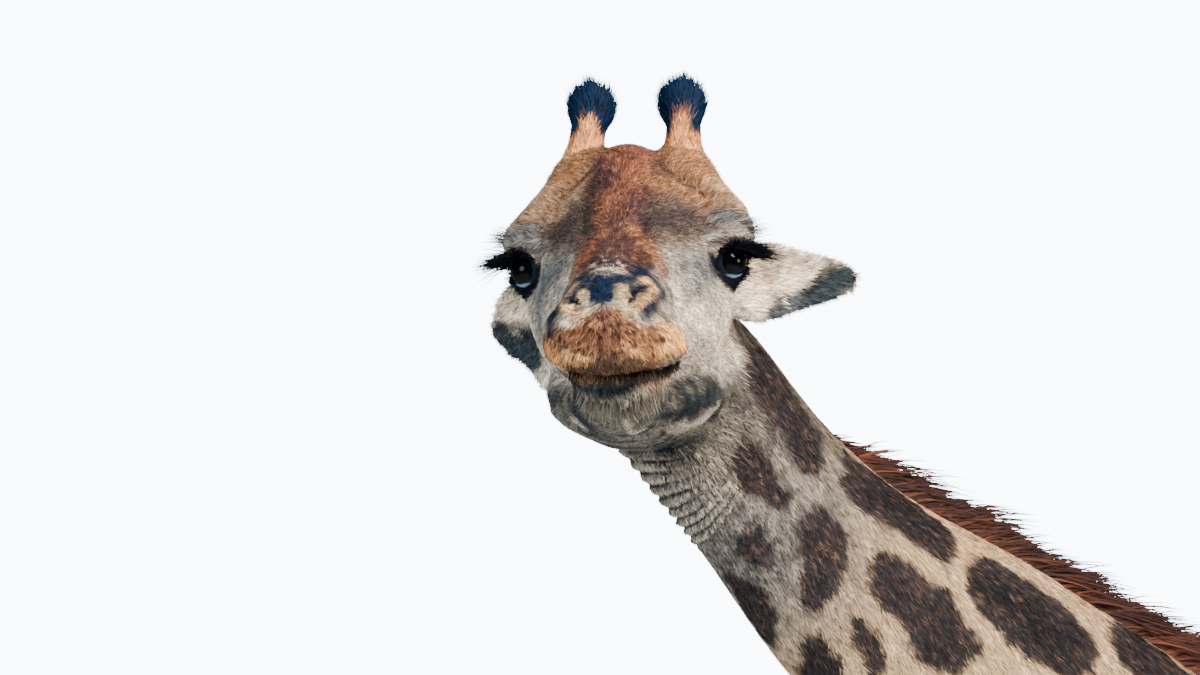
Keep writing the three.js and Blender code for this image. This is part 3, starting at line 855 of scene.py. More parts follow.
def skin_block(name, form, block, reach):
    """The form's surface in one block, as a mesh with evenly spaced corners."""
    corners, faces = block.draw(form)
    edges = edges_of(faces)
    used = np.bincount(edges.ravel(), minlength=len(corners))
    still = (used < 4) | slender(corners)
    corners = settle(form, corners, reach, 1)
    corners = relax(form, corners, edges, still, reach)
    return new_mesh(name, corners, faces)


def cut_off(bm, point, normal):
    """Cut away what lies on the side the normal points to."""
    parts = bm.verts[:] + bm.edges[:] + bm.faces[:]
    bmesh.ops.bisect_plane(bm, geom=parts, dist=1e-5, plane_co=point, plane_no=normal,
                           clear_outer=True)


def rim_loop(bm, point, normal, centre):
    """The open rim lying in a plane, in order round its centre."""
    near = lambda v: abs((v.co - point).dot(normal)) < 2e-4
    rim = {v for e in bm.edges if e.is_boundary for v in e.verts if near(e.verts[0])
           and near(e.verts[1])}
    right = normal.orthogonal().normalized()
    over = normal.cross(right)
    angle = lambda v: math.atan2((v.co - centre).dot(over), (v.co - centre).dot(right))
    return sorted(((angle(v), v) for v in rim), key=lambda pair: pair[0])


def zip_rims(bm, lower, upper):
    """Triangles between two rims that go round the same way."""
    i = j = 0
    n, m = len(lower), len(upper)
    turn = 2 * math.pi
    at_lower = lambda k: lower[k % n][0] + turn * (k // n)
    at_upper = lambda k: upper[k % m][0] + turn * (k // m)
    while i < n or j < m:
        if j >= m or (i < n and at_lower(i + 1) < at_upper(j + 1)):
            corners = (lower[i % n][1], lower[(i + 1) % n][1], upper[j % m][1])
            i += 1
        else:
            corners = (lower[i % n][1], upper[(j + 1) % m][1], upper[j % m][1])
            j += 1
        if len(set(corners)) == 3:
            bm.faces.new(corners)


def join_blocks(body, head, point, normal, gap, merge):
    """Cut two skins at one plane, a small gap apart, and close the gap between them."""
    point, normal = Vector(point), Vector(normal).normalized()
    upper_point = point + gap * normal
    with edited(head) as part:
        cut_off(part, upper_point, -normal)
        thin_rim(part, merge)
    joined = bmesh.new()
    joined.from_mesh(body)
    cut_off(joined, point, normal)
    thin_rim(joined, merge)
    joined.from_mesh(head)
    centre = Vector(np.mean([v.co for _, v in rim_loop(joined, point, normal, point)], 0))
    lower = rim_loop(joined, point, normal, centre)
    upper = rim_loop(joined, upper_point, normal, centre + gap * normal)
    zip_rims(joined, lower, upper)
    return joined


def thin_rim(bm, least):
    """Draw together the rim's corners that lie closer than this."""
    rim = list({v for e in bm.edges if e.is_boundary for v in e.verts})
    bmesh.ops.remove_doubles(bm, verts=rim, dist=least)


def refine(bm, form, chosen, reach):
    """Halve the cells where chosen says so, and lay the new corners on the form."""
    places = np.array([f.calc_center_median() for f in bm.faces])
    wanted = chosen(places)
    edges = {e for f, want in zip(bm.faces, wanted) if want for e in f.edges}
    made = bmesh.ops.subdivide_edges(bm, edges=list(edges), cuts=1, use_grid_fill=True)
    fresh = [v for v in made["geom_inner"] if isinstance(v, bmesh.types.BMVert)]
    fresh = list(dict.fromkeys(fresh))
    if fresh:
        places = settle(form, np.array([v.co for v in fresh]), reach, 2)
        for corner, place in zip(fresh, places):
            corner.co = place


# Small helpers -----------------------------------------------------------------------------

def paint(red, green, blue):
    """A colour named as on a colour card, 0 to 255, as the light it gives back."""
    return (np.array([red, green, blue]) / 255.0) ** 2.2


def hash_at(cells, seed):
    """A number from 0 to 1 for each cell of a lattice."""
    h = cells[..., 0] * 73856093 ^ cells[..., 1] * 19349663 ^ cells[..., 2] * 83492791
    h = (h + seed * 2654435761) & 0xFFFFFFFF
    h = ((h ^ (h >> 15)) * 2246822519) & 0xFFFFFFFF
    h = ((h ^ (h >> 13)) * 3266489917) & 0xFFFFFFFF
    return ((h ^ (h >> 16)) & 0xFFFFFF) / float(0xFFFFFF)


def cloud(points, size, seed):
    """Soft noise from -1 to 1, with lumps about this size."""
    at = points / size
    cell = np.floor(at).astype(np.int64)
    t = at - cell
    t = t * t * (3 - 2 * t)
    total = np.zeros(len(points))
    for corner in CORNERS:
        shares = np.where(corner, t, 1 - t)
        total += shares[:, 0] * shares[:, 1] * shares[:, 2] * hash_at(cell + corner, seed)
    return 2 * total - 1


def mix(a, b, share):
    """Rows a, with this share of b in each."""
    share = np.asarray(share)[:, None]
    return a * (1 - share) + b * share


def within(points, rows, soft):
    """One inside a strand, fading to nothing this far outside it."""
    return smooth_step(soft, -soft, strand(points, rows))


def add_attribute(mesh, name, kind, values):
    """Give the mesh a named value at every corner."""
    layer = mesh.attributes.new(name, kind, "POINT")
    field = {"FLOAT": "value", "FLOAT_VECTOR": "vector", "FLOAT_COLOR": "color"}[kind]
    if kind == "FLOAT_COLOR":
        values = np.column_stack([values, np.ones(len(values))])
    layer.data.foreach_set(field, np.asarray(values, np.float32).ravel())


def show(name, mesh, material, nodes=()):
    """Put a finished mesh in the scene as a piece of the animal."""
    piece = bpy.data.objects.new(name, mesh)
    bpy.context.scene.collection.objects.link(piece)
    mesh.materials.clear()
    mesh.materials.append(material)
    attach(piece, "root")
    if nodes:
        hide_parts(*nodes)
    return piece


# Markings ----------------------------------------------------------------------------------

BEIGE = paint(200, 168, 132)
BELLY = paint(208, 188, 160)
CREAM = paint(226, 208, 184)
CHEEK = paint(255, 240, 214)
ASH = paint(132, 128, 122)
TAN = paint(150, 104, 72)
PALE_TAN = paint(186, 146, 112)
RUST = paint(86, 60, 54)
BRIGHT_RUST = paint(146, 92, 66)
PLUM = paint(50, 42, 48)
BROW = paint(112, 90, 76)
TEMPLE = paint(64, 56, 56)
MUZZLE = paint(150, 103, 72)
GOLD = paint(244, 180, 112)
RIM = paint(232, 184, 128)
BULB = paint(206, 178, 138)
NOSE_DARK = paint(22, 37, 56)
EYE_DARK = paint(14, 20, 32)
# A dark bluish grey: the coat's own dark marks, and painted shade in creases, folds and under the
# head.
DARK_SHADE_AND_MARK = paint(28, 38, 44)
THROAT = paint(112, 106, 96)
FRINGE = paint(66, 56, 48)
PEARL = paint(250, 232, 206)
CHIN_GREY = paint(128, 120, 106)
SLATE = paint(92, 96, 98)
EAR_INSIDE = paint(54, 62, 66)
HORN_BLACK = paint(6, 34, 60)
HORN_TAN = paint(236, 158, 98)
PATCH_GAP = 0.014
NO_PATCH = -0.2
HEAD_PAINTED = 0.62

FACE_PAINT = (
    # paint, how strong and how soft it is, from and to along the head, and the line across
    # the face, as x, z and half width, all in millimetres
    (TAN, 0.95, 22, -160, 200, ((-96, 96, 20), (-62, 132, 34), (0, 150, 40), (70, 134, 34),
                               (104, 104, 22))),
    (BROW, 1.0, 30, -330, 70, ((-110, 80, 24), (-60, 84, 30), (0, 90, 34), (60, 84, 30),
                               (116, 80, 24))),
    (BROW, 0.8, 24, -330, 0, ((-60, 60, 10), (0, 56, 30), (60, 60, 10))),
    (TEMPLE, 0.65, 26, -230, 50, ((-92, 72, 12), (-60, 78, 22), (0, 84, 30), (60, 80, 24),
                                  (100, 70, 12))),
    (TAN, 0.95, 14, -140, 200, ((-40, 168, 12), (-60, 141, 15), (-78, 117, 11))),
    (PALE_TAN, 0.85, 12, -120, 120, ((-78, 117, 10), (-108, 92, 9))),
    (TAN, 0.95, 14, -140, 200, ((56, 162, 14), (84, 139, 16), (100, 117, 12))),
    (PALE_TAN, 0.85, 12, -120, 120, ((100, 117, 12), (122, 98, 10))),
    (RUST, 1.0, 16, -160, 170, ((4, 178, 32), (4, 152, 36), (6, 130, 40), (0, 108, 36))),
    (RUST, 1.0, 14, -350, -40, ((0, 108, 32), (-2, 84, 25), (0, 68, 24), (2, 50, 36), (2, 34, 44))),
    (TAN, 0.85, 8, -140, 40, ((18, 128, 4), (41, 122, 6), (72, 106, 6), (96, 94, 5))),
    (PALE_TAN, 0.8, 8, -140, 40, ((-44, 122, 3), (-66, 98, 5), (-92, 78, 5))),
    # These two lines are painted shade in the forehead's grooves, on either side.
    (PLUM, 0.75, 7, -140, 40, ((-28, 150, 3), (-52, 126, 2), (-79, 104, 2))),
    (PLUM, 0.75, 8, -140, 40, ((36, 150, 4), (58, 128, 3), (84, 111, 2), (110, 100, 1))),
    (PLUM, 0.45, 12, -140, 90, ((-22, 146, 5), (-26, 118, 4))),
    (BRIGHT_RUST, 0.6, 12, -120, 170, ((2, 172, 20), (4, 152, 24))),
    (PLUM, 0.65, 14, -160, 60, ((-14, 136, 10), (-4, 116, 14), (12, 114, 10))),
    (BRIGHT_RUST, 0.8, 14, -180, -20, ((16, 137, 7), (6, 118, 6), (-11, 100, 8), (-14, 84, 6))),
    (TEMPLE, 0.85, 16, -230, -50, ((40, 84, 15), (70, 80, 12), (86, 66, 8))),
    # Painted shade in the groove on the left of the brow.
    (PLUM, 0.55, 10, -230, -90, ((23, 94, 5), (31, 68, 6), (40, 84, 5))),
    (TEMPLE, 0.45, 14, -230, -50, ((-50, 86, 10), (-66, 72, 12), (-80, 54, 7))),
    # Painted shade in the groove on the right of the brow.
    (DARK_SHADE_AND_MARK, 0.85, 8, -230, -90, ((-36, 94, 4), (-34, 68, 3))),
    (BRIGHT_RUST, 0.9, 7, -400, -210, ((-10, 66, 3), (-20, 56, 5), (-33, 39, 5), (-44, 20, 4))),
    (MUZZLE, 0.8, 5, -400, -230, ((-34, 44, 2), (-45, 22, 3))),
    (TAN, 0.9, 7, -400, -210, ((14, 70, 3), (24, 60, 5), (40, 43, 6), (53, 22, 6))),
    (BRIGHT_RUST, 0.9, 5, -400, -230, ((36, 50, 2), (50, 30, 3), (56, 16, 3))),
    (TEMPLE, 0.3, 10, -420, -230, ((0, 52, 6), (0, 36, 12), (-4, 28, 12))),
    (NOSE_DARK, 0.92, 7, -520, -240, ((-54, -30, 6), (-48, -12, 10), (-30, 2, 14), (0, 2, 16),
                                      (30, 2, 14), (44, -8, 10), (48, -28, 6))),
    (RUST, 0.6, 6, -520, -240, ((54, 4, 4), (62, -14, 4), (62, -30, 4))),
    (MUZZLE, 1.0, 5, -520, -300, ((-54, -56, 18), (-20, -66, 32), (2, -58, 40), (24, -66, 32),
                                  (72, -56, 18))),
    (BRIGHT_RUST, 0.5, 10, -520, -385, ((-48, -44, 8), (-40, -46, 8))),
    # Painted shade on the pad's lower edge, which faces down, in the lip fringe's brown.
    (FRINGE, 0.9, 10, -520, -340, ((-36, -84, 5), (-12, -80, 13), (16, -80, 13), (44, -82, 5))),
    (GOLD, 0.75, 8, -520, -340, ((-62, -54, 3), (-58, -66, 6), (-44, -72, 6), (-18, -70, 4))),
    (GOLD, 0.5, 6, -520, -340, ((18, -68, 4), (40, -70, 5))),
    (RUST, 0.45, 10, -520, -385, ((-2, -26, 12), (-1, -44, 18), (4, -62, 10))),
    # Painted shade in the two short grooves of the pad.
    (PLUM, 0.8, 3, -520, -385, ((-56, -48, 1), (-48, -55, 2), (-37, -56, 1))),
    (PLUM, 0.8, 3, -520, -385, ((42, -38, 1), (54, -42, 2), (64, -40, 1))),
    (NOSE_DARK, 0.95, 6, -520, -240, ((-58, -44, 5), (-56, -24, 7), (-50, 0, 6), (-34, 15, 6),
                                      (-15, 15, 6), (2, 10, 6), (22, 14, 6), (36, 22, 5))),
    (NOSE_DARK, 0.9, 6, -520, -240, ((26, 24, 5), (44, 12, 6), (52, -6, 4), (50, -24, 5),
                                     (42, -30, 3))),
    (NOSE_DARK, 1.0, 4, -520, -380, ((-8, -4, 8), (3, -5, 8), (0, 8, 7))),
    (RIM, 1.0, 4, -520, -310, ((-33, 9, 3), (-42, 2, 3), (-44, -8, 2))),
    (RIM, 1.0, 5, -520, -310, ((-43, -17, 3), (-32, -25, 4), (-24, -30, 3))),
    (BULB, 1.0, 5, -520, -310, ((-21, -5, 5), (-21, -18, 4), (-23, -29, 3))),
    (BULB, 1.0, 5, -520, -310, ((19, -3, 7), (21, -17, 5), (25, -27, 4))),
    (RIM, 1.0, 4, -520, -310, ((35, 11, 3), (45, 5, 3), (45, -3, 2))),
    (RIM, 1.0, 5, -520, -310, ((45, -9, 3), (36, -17, 4), (27, -26, 3))),
    (GOLD, 1.0, 6, -520, -300, ((60, -38, 3), (70, -47, 9), (82, -58, 10), (64, -66, 6))),
    (FRINGE, 0.85, 6, -520, -300, ((-42, -94, 3), (-2, -101, 4), (36, -92, 4), (73, -78, 3),
                                  (89, -69, 2))),
    (PALE_TAN, 0.8, 8, -470, -360, ((42, -104, 5), (66, -95, 5), (84, -84, 3))),
    (CHIN_GREY, 0.95, 8, -470, -300, ((-20, -124, 8), (3, -128, 12), (38, -124, 12))),
    (THROAT, 0.7, 8, -470, -260, ((-46, -140, 10), (-10, -150, 8), (30, -150, 10))),
    # Painted shadow under the pad, along the mouth.
    (DARK_SHADE_AND_MARK, 0.95, 5, -500, -300, ((-56, -86, 2), (-32, -102, 4), (-2, -107, 6),
                                      (24, -104, 5), (50, -96, 3), (80, -82, 1))),
    # This row and the six after it: dark under the jaw, partly the jaw's own grey marks and partly
    # painted shade beneath the head; the thin line along the jaw's fold is painted shade in the
    # fold.
    (DARK_SHADE_AND_MARK, 0.95, 10, -460, -200, ((-46, -124, 10), (-36, -142, 12))),
    (DARK_SHADE_AND_MARK, 0.85, 9, -260, -20, ((58, -104, 9), (74, -96, 10), (92, -106, 9))),
    (DARK_SHADE_AND_MARK, 0.85, 8, -300, -20, ((44, -138, 8), (62, -136, 8), (84, -130, 8))),
    (DARK_SHADE_AND_MARK, 0.8, 7, -260, 20, ((64, -122, 5), (84, -121, 7), (106, -120, 6))),
    (DARK_SHADE_AND_MARK, 0.7, 4, -240, 20, ((60, -116, 1), (83, -118, 2), (104, -113, 1))),
    (DARK_SHADE_AND_MARK, 0.8, 5, -240, 20, ((84, -138, 5), (104, -120, 4))),
    (DARK_SHADE_AND_MARK, 0.95, 8, -320, 100, ((24, -178, 6), (48, -176, 8), (72, -168, 6))),
    # Painted highlights along the jaw's raised folds, on both sides.
    (CREAM, 0.7, 5, -240, 20, ((46, -156, 2), (74, -146, 3), (94, -130, 3))),
    (CREAM, 0.7, 5, -240, 20, ((-46, -150, 2), (-60, -138, 3))),
    (PEARL, 0.4, 2, -500, -240, ((17, -132, 5), (20, -152, 6), (23, -174, 6))),
    (SLATE, 0.95, 18, -330, -60, ((70, 30, 14), (92, 26, 14), (84, 2, 8))),
    (SLATE, 0.9, 16, -380, 10, ((-62, 36, 10), (-84, 20, 16), (-94, -12, 10), (-92, -40, 6))),
    (CHEEK, 1.0, 14, -380, 10, ((80, -24, 8), (97, -53, 10), (108, -80, 9), (116, -98, 4))),
    (CREAM, 0.5, 10, -380, 10, ((-84, -40, 3), (-94, -58, 4), (-98, -74, 3))),
    (TAN, 0.5, 5, -160, 10, ((106, -62, 3), (111, -86, 3))),
    # The next six rows: painted shade in the brow creases over each eye, and a painted highlight
    # below them.
    (DARK_SHADE_AND_MARK, 0.85, 2, -110, 70, ((90, 80, 1), (113, 88, 1), (133, 83, 1))),
    (DARK_SHADE_AND_MARK, 0.85, 2, -110, 70, ((90, 71, 1), (113, 79, 1), (138, 74, 1))),
    (CREAM, 0.8, 3, -110, 70, ((92, 58, 1), (116, 66, 3), (142, 65, 3))),
    (DARK_SHADE_AND_MARK, 0.85, 2, -110, 70, ((-88, 80, 1), (-109, 84, 1), (-126, 76, 1))),
    (DARK_SHADE_AND_MARK, 0.85, 2, -110, 70, ((-88, 71, 1), (-109, 76, 1), (-130, 68, 1))),
    (CREAM, 0.8, 3, -110, 70, ((-92, 58, 1), (-114, 64, 3), (-136, 62, 3))),
    (ASH, 0.8, 4, -110, 70, ((94, 76, 1), (113, 83, 2), (135, 78, 2))),
    (SLATE, 0.85, 8, -110, 90, ((104, 80, 7), (128, 80, 8), (140, 68, 6))),
    (SLATE, 0.7, 8, -110, 90, ((-96, 76, 6), (-116, 78, 8), (-128, 66, 6))),
    (DARK_SHADE_AND_MARK, 0.6, 3, -110, 90, ((112, 94, 1), (130, 88, 2), (142, 76, 1))),
    (DARK_SHADE_AND_MARK, 0.6, 16, -30, 260, ((120, -104, 8), (122, -138, 14), (112, -168, 12))),
    (ASH, 0.8, 4, -110, 70, ((-90, 75, 1), (-109, 80, 2), (-128, 72, 2))),
    # Painted shade in the nostril slits.
    (EYE_DARK, 1.0, 2, -520, -310, ((-39, -6, 2), (-32, -12, 3), (-25, -17, 3))),
    (EYE_DARK, 1.0, 2, -520, -310, ((41, 5, 2), (34, -3, 3), (28, -11, 3))),
)


EYE_PAINT = (
    # paint, how strong and how soft, and the line beside the eye, on either side of the face
    (ASH, 0.8, 6, ((92, 60, 4), (118, 66, 5), (138, 60, 4))),
    (EYE_DARK, 0.85, 4, ((95, 54, 2), (116, 58, 3), (136, 52, 2))),
    (EYE_DARK, 0.6, 4, ((100, 45, 2), (116, 50, 2), (134, 44, 2))),
    (EYE_DARK, 1.0, 4, ((95, 42, 3), (98, 32, 5), (104, 18, 6), (113, 9, 7), (122, 1, 5),
                        (128, -8, 2))),
    (EYE_DARK, 0.7, 4, ((126, -8, 2), (120, -30, 1))),
)


def behind_head(in_head):
    """How far points lie behind the jaw and the poll, where the neck's own markings start."""
    y, z = in_head.T[1:]
    return np.maximum(y - 0.125 - 0.30 * z, -0.180 - z)


EAR_PAINT = (
    # paint, how strong and how soft, and the line across the ears, as in the face's own paint
    (EAR_INSIDE, 1.0, 5, ((240, 14, 14), (216, 0, 15), (192, -14, 16), (168, -22, 17),
                          (156, -30, 16))),
    (SLATE, 0.8, 7, ((178, -12, 7), (162, -18, 12), (152, -34, 10))),
    # Painted shade along the fold of the left ear.
    (DARK_SHADE_AND_MARK, 0.85, 3, ((216, 32, 3), (220, 23, 6), (208, 13, 6), (198, 4, 6), (188, -3, 5))),
    (DARK_SHADE_AND_MARK, 0.6, 6, ((152, -4, 5), (160, -20, 3))),
    (PALE_TAN, 0.6, 8, ((146, 20, 8), (152, 4, 6))),
    (PEARL, 0.9, 1, ((155, -4, 2), (162, -13, 1), (165, -23, 1))),
    (CREAM, 0.9, 2, ((228, 31, 1), (247, 15, 1))),
    (NOSE_DARK, 0.9, 2, ((250, 5, 1), (232, -8, 1), (200, -24, 1), (165, -42, 1))),
    (EAR_INSIDE, 1.0, 7, ((-164, -35, 14), (-152, -51, 18), (-134, -61, 20), (-126, -41, 16))),
    (DARK_SHADE_AND_MARK, 0.75, 4, ((-170, -21, 3), (-152, -27, 5), (-136, -29, 4))),
    (DARK_SHADE_AND_MARK, 0.85, 4, ((-135, -35, 5), (-131, -39, 4))),
    (DARK_SHADE_AND_MARK, 0.7, 3, ((-125, -23, 2), (-124, -33, 2))),
    (PEARL, 1.0, 4, ((-164, -1, 10), (-152, -6, 11), (-138, -13, 8))),
    (NOSE_DARK, 0.9, 2, ((-170, -63, 1), (-154, -81, 1), (-122, -87, 1))),
)


def ear_colours(colour, points):
    """Cream above and on the fold, ashy within, painted shade along the fold, and dark along the
    lower edge.
    """
    near = np.where(on_ear(points) | (points[:, 1] > 0.11))[0]
    near = near[np.abs(points[near, 0]) > 0.095]
    on = on_ear(points[near])
    own = points[near]
    flat = seen_flat(own + 0.003 * np.stack([cloud(own, 0.010, 52), 0 * on,
                                             cloud(own, 0.010, 53)], 1))
    tinted = mix(colour[near], PEARL, 0.9 * on)
    for tint, strength, soft, rows in EAR_PAINT:
        share = within(flat, flat_rows(rows), soft / 1000)
        tinted = mix(tinted, tint, strength * share * on)
    colour[near] = tinted
    return colour


def head_ground(points):
    """The coat's colour on the head, from points in the head's own frame."""
    y, z = points.T[1:]
    both = mirrored(points)
    warped = points + 0.0035 * np.stack([cloud(points, 0.018, s) for s in (3, 4, 5)], 1)
    flat = seen_flat(warped)
    rough = cloud(points, 0.030, 1)
    grain = cloud(points, 0.0045, 2)
    colour = many(CREAM, len(points))
    colour = mix(colour, ASH, smooth_step(-0.3, 0.5, rough) * 0.6)
    behind = smooth_step(-0.02, 0.06, y) * smooth_step(-0.10, 0.02, z)
    colour = mix(colour, PALE_TAN, 0.6 * behind * smooth_step(0.02, 0.09, z))
    # Greyer and darker under the jaw: partly the jaw's own grey, partly painted shade beneath the
    # head, with blotches of painted shade.
    under = smooth_step(-0.085, -0.115, z)
    colour = mix(colour, THROAT, under)
    jaw_shade_blotches = smooth_step(-0.05, 0.40, cloud(points, 0.022, 6)) * under
    colour = mix(colour, DARK_SHADE_AND_MARK, 0.72 * jaw_shade_blotches)
    for tint, strength, soft, start, end, rows in FACE_PAINT:
        along = strength * between(y, start, end, 0.020)
        near = np.where(along > 0)[0]
        share = within(flat[near], flat_rows(rows), soft / 1000)
        colour[near] = mix(colour[near], tint, along[near] * share)
    rusty = within(flat, flat_rows(((4, 150, 34), (0, 84, 30), (0, 60, 34))), 0.012)
    rusty = rusty * between(y, -330, 170, 0.02)
    colour = mix(colour, BRIGHT_RUST, 0.45 * rusty * smooth_step(0.30, 0.7, grain))
    colour = mix(colour, PLUM, 0.60 * rusty * smooth_step(-0.1, -0.6, grain + 0.5 * rough))
    speckled = within(flat, flat_rows(((-10, 26, 11), (12, 24, 8))), 0.006)
    speckled = speckled * between(y, -430, -300, 0.02)
    colour = mix(colour, NOSE_DARK, 0.8 * speckled * smooth_step(0.1, -0.5, grain))
    colour = mix(colour, CREAM, 0.6 * speckled * smooth_step(0.1, 0.6, grain))
    pad = within(flat, flat_rows(((-40, -56, 14), (0, -52, 28), (56, -56, 16))), 0.010)
    pad = pad * between(y, -520, -400, 0.01)
    pores = smooth_step(0.22, 0.42, cloud(points, 0.0042, 9))
    colour = mix(colour, PLUM * 0.7, 0.85 * pad * pores)
    out, reach = eye_place(both)[2:]
    ring = smooth_step(EYE_RADIUS + 0.015, EYE_RADIUS + 0.007, reach) * smooth_step(0, 0.3, out)
    beside = seen_flat(both)
    for tint, strength, soft, rows in EYE_PAINT:
        share = strength * between(y, -90, 50, 0.015) * within(beside, flat_rows(rows), soft / 1000)
        colour = mix(colour, tint, share)
    # Dark in the nostril slits: painted shade in the slits; the ring round the eye is its own dark
    # skin.
    slits = np.maximum(within(points, NOSTRILS[0], 0.0025), within(points, NOSTRILS[1], 0.0025))
    colour = mix(colour, EYE_DARK, np.clip(ring + slits, 0, 1))
    band = within(both, ((0.116, 0.012, -0.004, 0.005), (0.114, 0.020, -0.060, 0.009),
                         (0.108, 0.020, -0.120, 0.009)), 0.010)
    colour = mix(colour, DARK_SHADE_AND_MARK, band * smooth_step(-0.1, 0.4, grain) * 0.8)
    lean = points * [1.0, 0.45, 0.55]
    strands = 0.5 * cloud(lean, 0.0022, 61) + 0.5 * cloud(lean, 0.0040, 62)
    uneven = np.exp(0.12 * rough + 0.25 * grain + 0.75 * strands)
    return ear_colours(colour, points) * uneven[:, None]


def throat_colours(colour, points):
    """Ashy behind the jaw, with dark streaks down it, painted shadow under the chin, painted shade
    in the furrows between the rings and painted highlights on their ridges.
    """
    near = smooth_step(0.30, 0.14, away_from([0.04, 0, 0.03], points - THROAT_AT))
    streaky = cloud(points * [1.0, 1.0, 0.25], 0.005, 41)
    streaky = smooth_step(-0.1, 0.5, streaky + 0.5 * cloud(points, 0.05, 42))
    high = smooth_step(3.50, 3.60, points[:, 2])
    colour = mix(colour, mix(many(ASH, len(points)), SLATE * 0.6, high), 0.85 * near)
    colour = mix(colour, DARK_SHADE_AND_MARK, 0.55 * near * streaky)
    press, furrow, ring = throat_folds(points)
    # Painted shadow under the chin, over the top rings.
    shaded = smooth_step(0.096, 0.078, ring) * smooth_step(0.30, 0.14,
                                                           away_from(RING_FROM, points))
    colour = mix(colour, DARK_SHADE_AND_MARK, 0.85 * shaded)
    # Painted highlight on the rings' ridges.
    ridge_highlight = smooth_step(0.0, -0.0012, press)
    colour = mix(colour, PEARL * 0.62, 0.7 * ridge_highlight)
    # Painted shade in the furrows between the rings, stronger higher up.
    furrow_shade_gain = 0.9 + 0.6 * smooth_step(3.44, 3.52, points[:, 2])
    return mix(colour, DARK_SHADE_AND_MARK, 0.85 * np.clip(furrow * furrow_shade_gain, 0, 1))


def ground_colour(points):
    """The coat's colour between the patches."""
    colour = many(BEIGE, len(points))
    low = smooth_step(1.75, 1.50, points[:, 2])
    colour = mix(colour, BELLY, low)
    rough = cloud(points, 0.10, 8) * 0.6 + cloud(points, 0.03, 9) * 0.4
    colour = colour * (1 + 0.10 * rough)[:, None]
    in_head = to_head(points)
    nearby = away_from(THROAT_AT, points) < THROAT_ROOM + 0.04
    if nearby.any():
        colour[nearby] = throat_colours(colour[nearby], points[nearby])
    near = np.where(away_from(HEAD_AT, points) < HEAD_PAINTED)[0]
    if len(near):
        part = in_head[near]
        share = np.maximum(smooth_step(0.055, -0.015, behind_head(part)), on_ear(part))
        colour[near] = mix(colour[near], head_ground(part), share)
    return colour


def segment_gap(points, start, end):
    """How far each point is from a straight line between two places."""
    line = end - start
    square = max(float(line @ line), 1e-12)
    share = np.clip((points - start) @ line / square, 0, 1)
    return np.linalg.norm(points - start - share[:, None] * line, axis=1)


def patch_depth(points, patches):
    """How deep inside its patch each point lies, below nothing in the pale lines between.

    A patch is a start, an end and a size, and reaches half way to its neighbours.
    """
    warp = np.stack([cloud(points, 0.11, s) * 0.016 + cloud(points, 0.035, s + 3) * 0.007
                     for s in (11, 12, 13)], 1)
    places = points + warp
    best = np.full((len(points), 2), 9.0)
    for start, end, size in patches:
        middle = 0.5 * (start + end)
        reach = 0.5 * np.linalg.norm(end - start) + 0.42
        near = np.where(away_from(middle, places) < reach)[0]
        if not len(near):
            continue
        gap = segment_gap(places[near], start, end) - size
        first, second = best[near].T
        best[near, 1] = np.minimum(second, np.maximum(first, gap))
        best[near, 0] = np.minimum(first, gap)
    widest = np.interp(points[:, 2], [2.9, 3.3], [0.20, PATCH_REACH])
    return np.minimum(0.5 * (best[:, 1] - best[:, 0]), widest - best[:, 0])


PATCH_REACH = 0.036
NECK_PATCHES = (
    # the station and the turn round the neck where each starts and ends, and its size
    (8.70, -76, 8.16, -88, 0.030), (8.41, -131, 8.12, -138, 0.012), (7.69, -60, 6.97, -50, 0.036),
    (8.06, -155, 7.83, -163, 0.002), (7.71, -129, 7.42, -151, 0.016),
    (7.67, -177, 7.37, 174, 0.012), (7.01, -112, 6.60, -116, 0.034), (6.43, -57, 6.07, -55, 0.042),
    (7.06, -146, 6.87, -148, 0.026), (7.12, -166, 6.89, -173, 0.026), (5.66, -24, 5.39, -18, 0.030),
    (5.77, -70, 5.52, -53, 0.026), (6.61, -148, 6.40, -140, 0.024), (6.28, -121, 6.10, -112, 0.020),
    (8.35, -40, 8.00, -24, 0.022),
)


def neck_place(station, turn):
    """A place on the neck's skin, from its station and the turn from the crest."""
    value = NECK.sampler(station * NECK_STEPS)
    angle = math.radians(turn)
    size = value(NECK.size)
    tall = size[0] if math.cos(angle) > 0 else size[1]
    reach = 1 / math.sqrt((math.cos(angle) / tall) ** 2 + (math.sin(angle) / size[2]) ** 2)
    return (value(NECK.centre) + reach * math.cos(angle) * value(NECK.above)
            + reach * math.sin(angle) * value(NECK.side))


def patch_spacing(points):
    """How far apart the middles of the patches lie."""
    spacing = np.interp(points[:, 2], [0.1, 0.5, 1.1, 1.6, 2.0], [0.055, 0.075, 0.12, 0.20, 0.25])
    on_neck = smooth_step(2.2, 2.9, points[:, 2] - 0.5 * (points[:, 1] + 0.9))
    return spacing * (1 - on_neck) + on_neck * np.interp(points[:, 2], [2.4, 3.6], [0.21, 0.125])


def lay_patches(places, seed):
    """The listed patches on the neck, and others as far apart as they should be."""
    patches = []
    for start, turn, end, end_turn, size in NECK_PATCHES:
        patches.append((neck_place(start, turn), neck_place(end, end_turn), size))
        if max(abs(turn), abs(end_turn)) < 150:
            patches.append((neck_place(start, -turn), neck_place(end, -end_turn), size))
    rng = np.random.default_rng(seed)
    tries = places[rng.permutation(len(places))[:30000]]
    spacing = patch_spacing(tries)
    taken = [0.5 * (a + b) for a, b, size in patches]
    room = [0.075 + 0.5 * np.linalg.norm(b - a) + size for a, b, size in patches]
    for place, apart in zip(tries, spacing):
        gaps = away_from(place, np.asarray(taken))
        if (gaps < 0.5 * apart + np.asarray(room)).any():
            continue
        taken.append(place)
        room.append(0.5 * apart)
        patches.append((place, place, rng.uniform(-0.05, 0.05) * apart))
    return patches


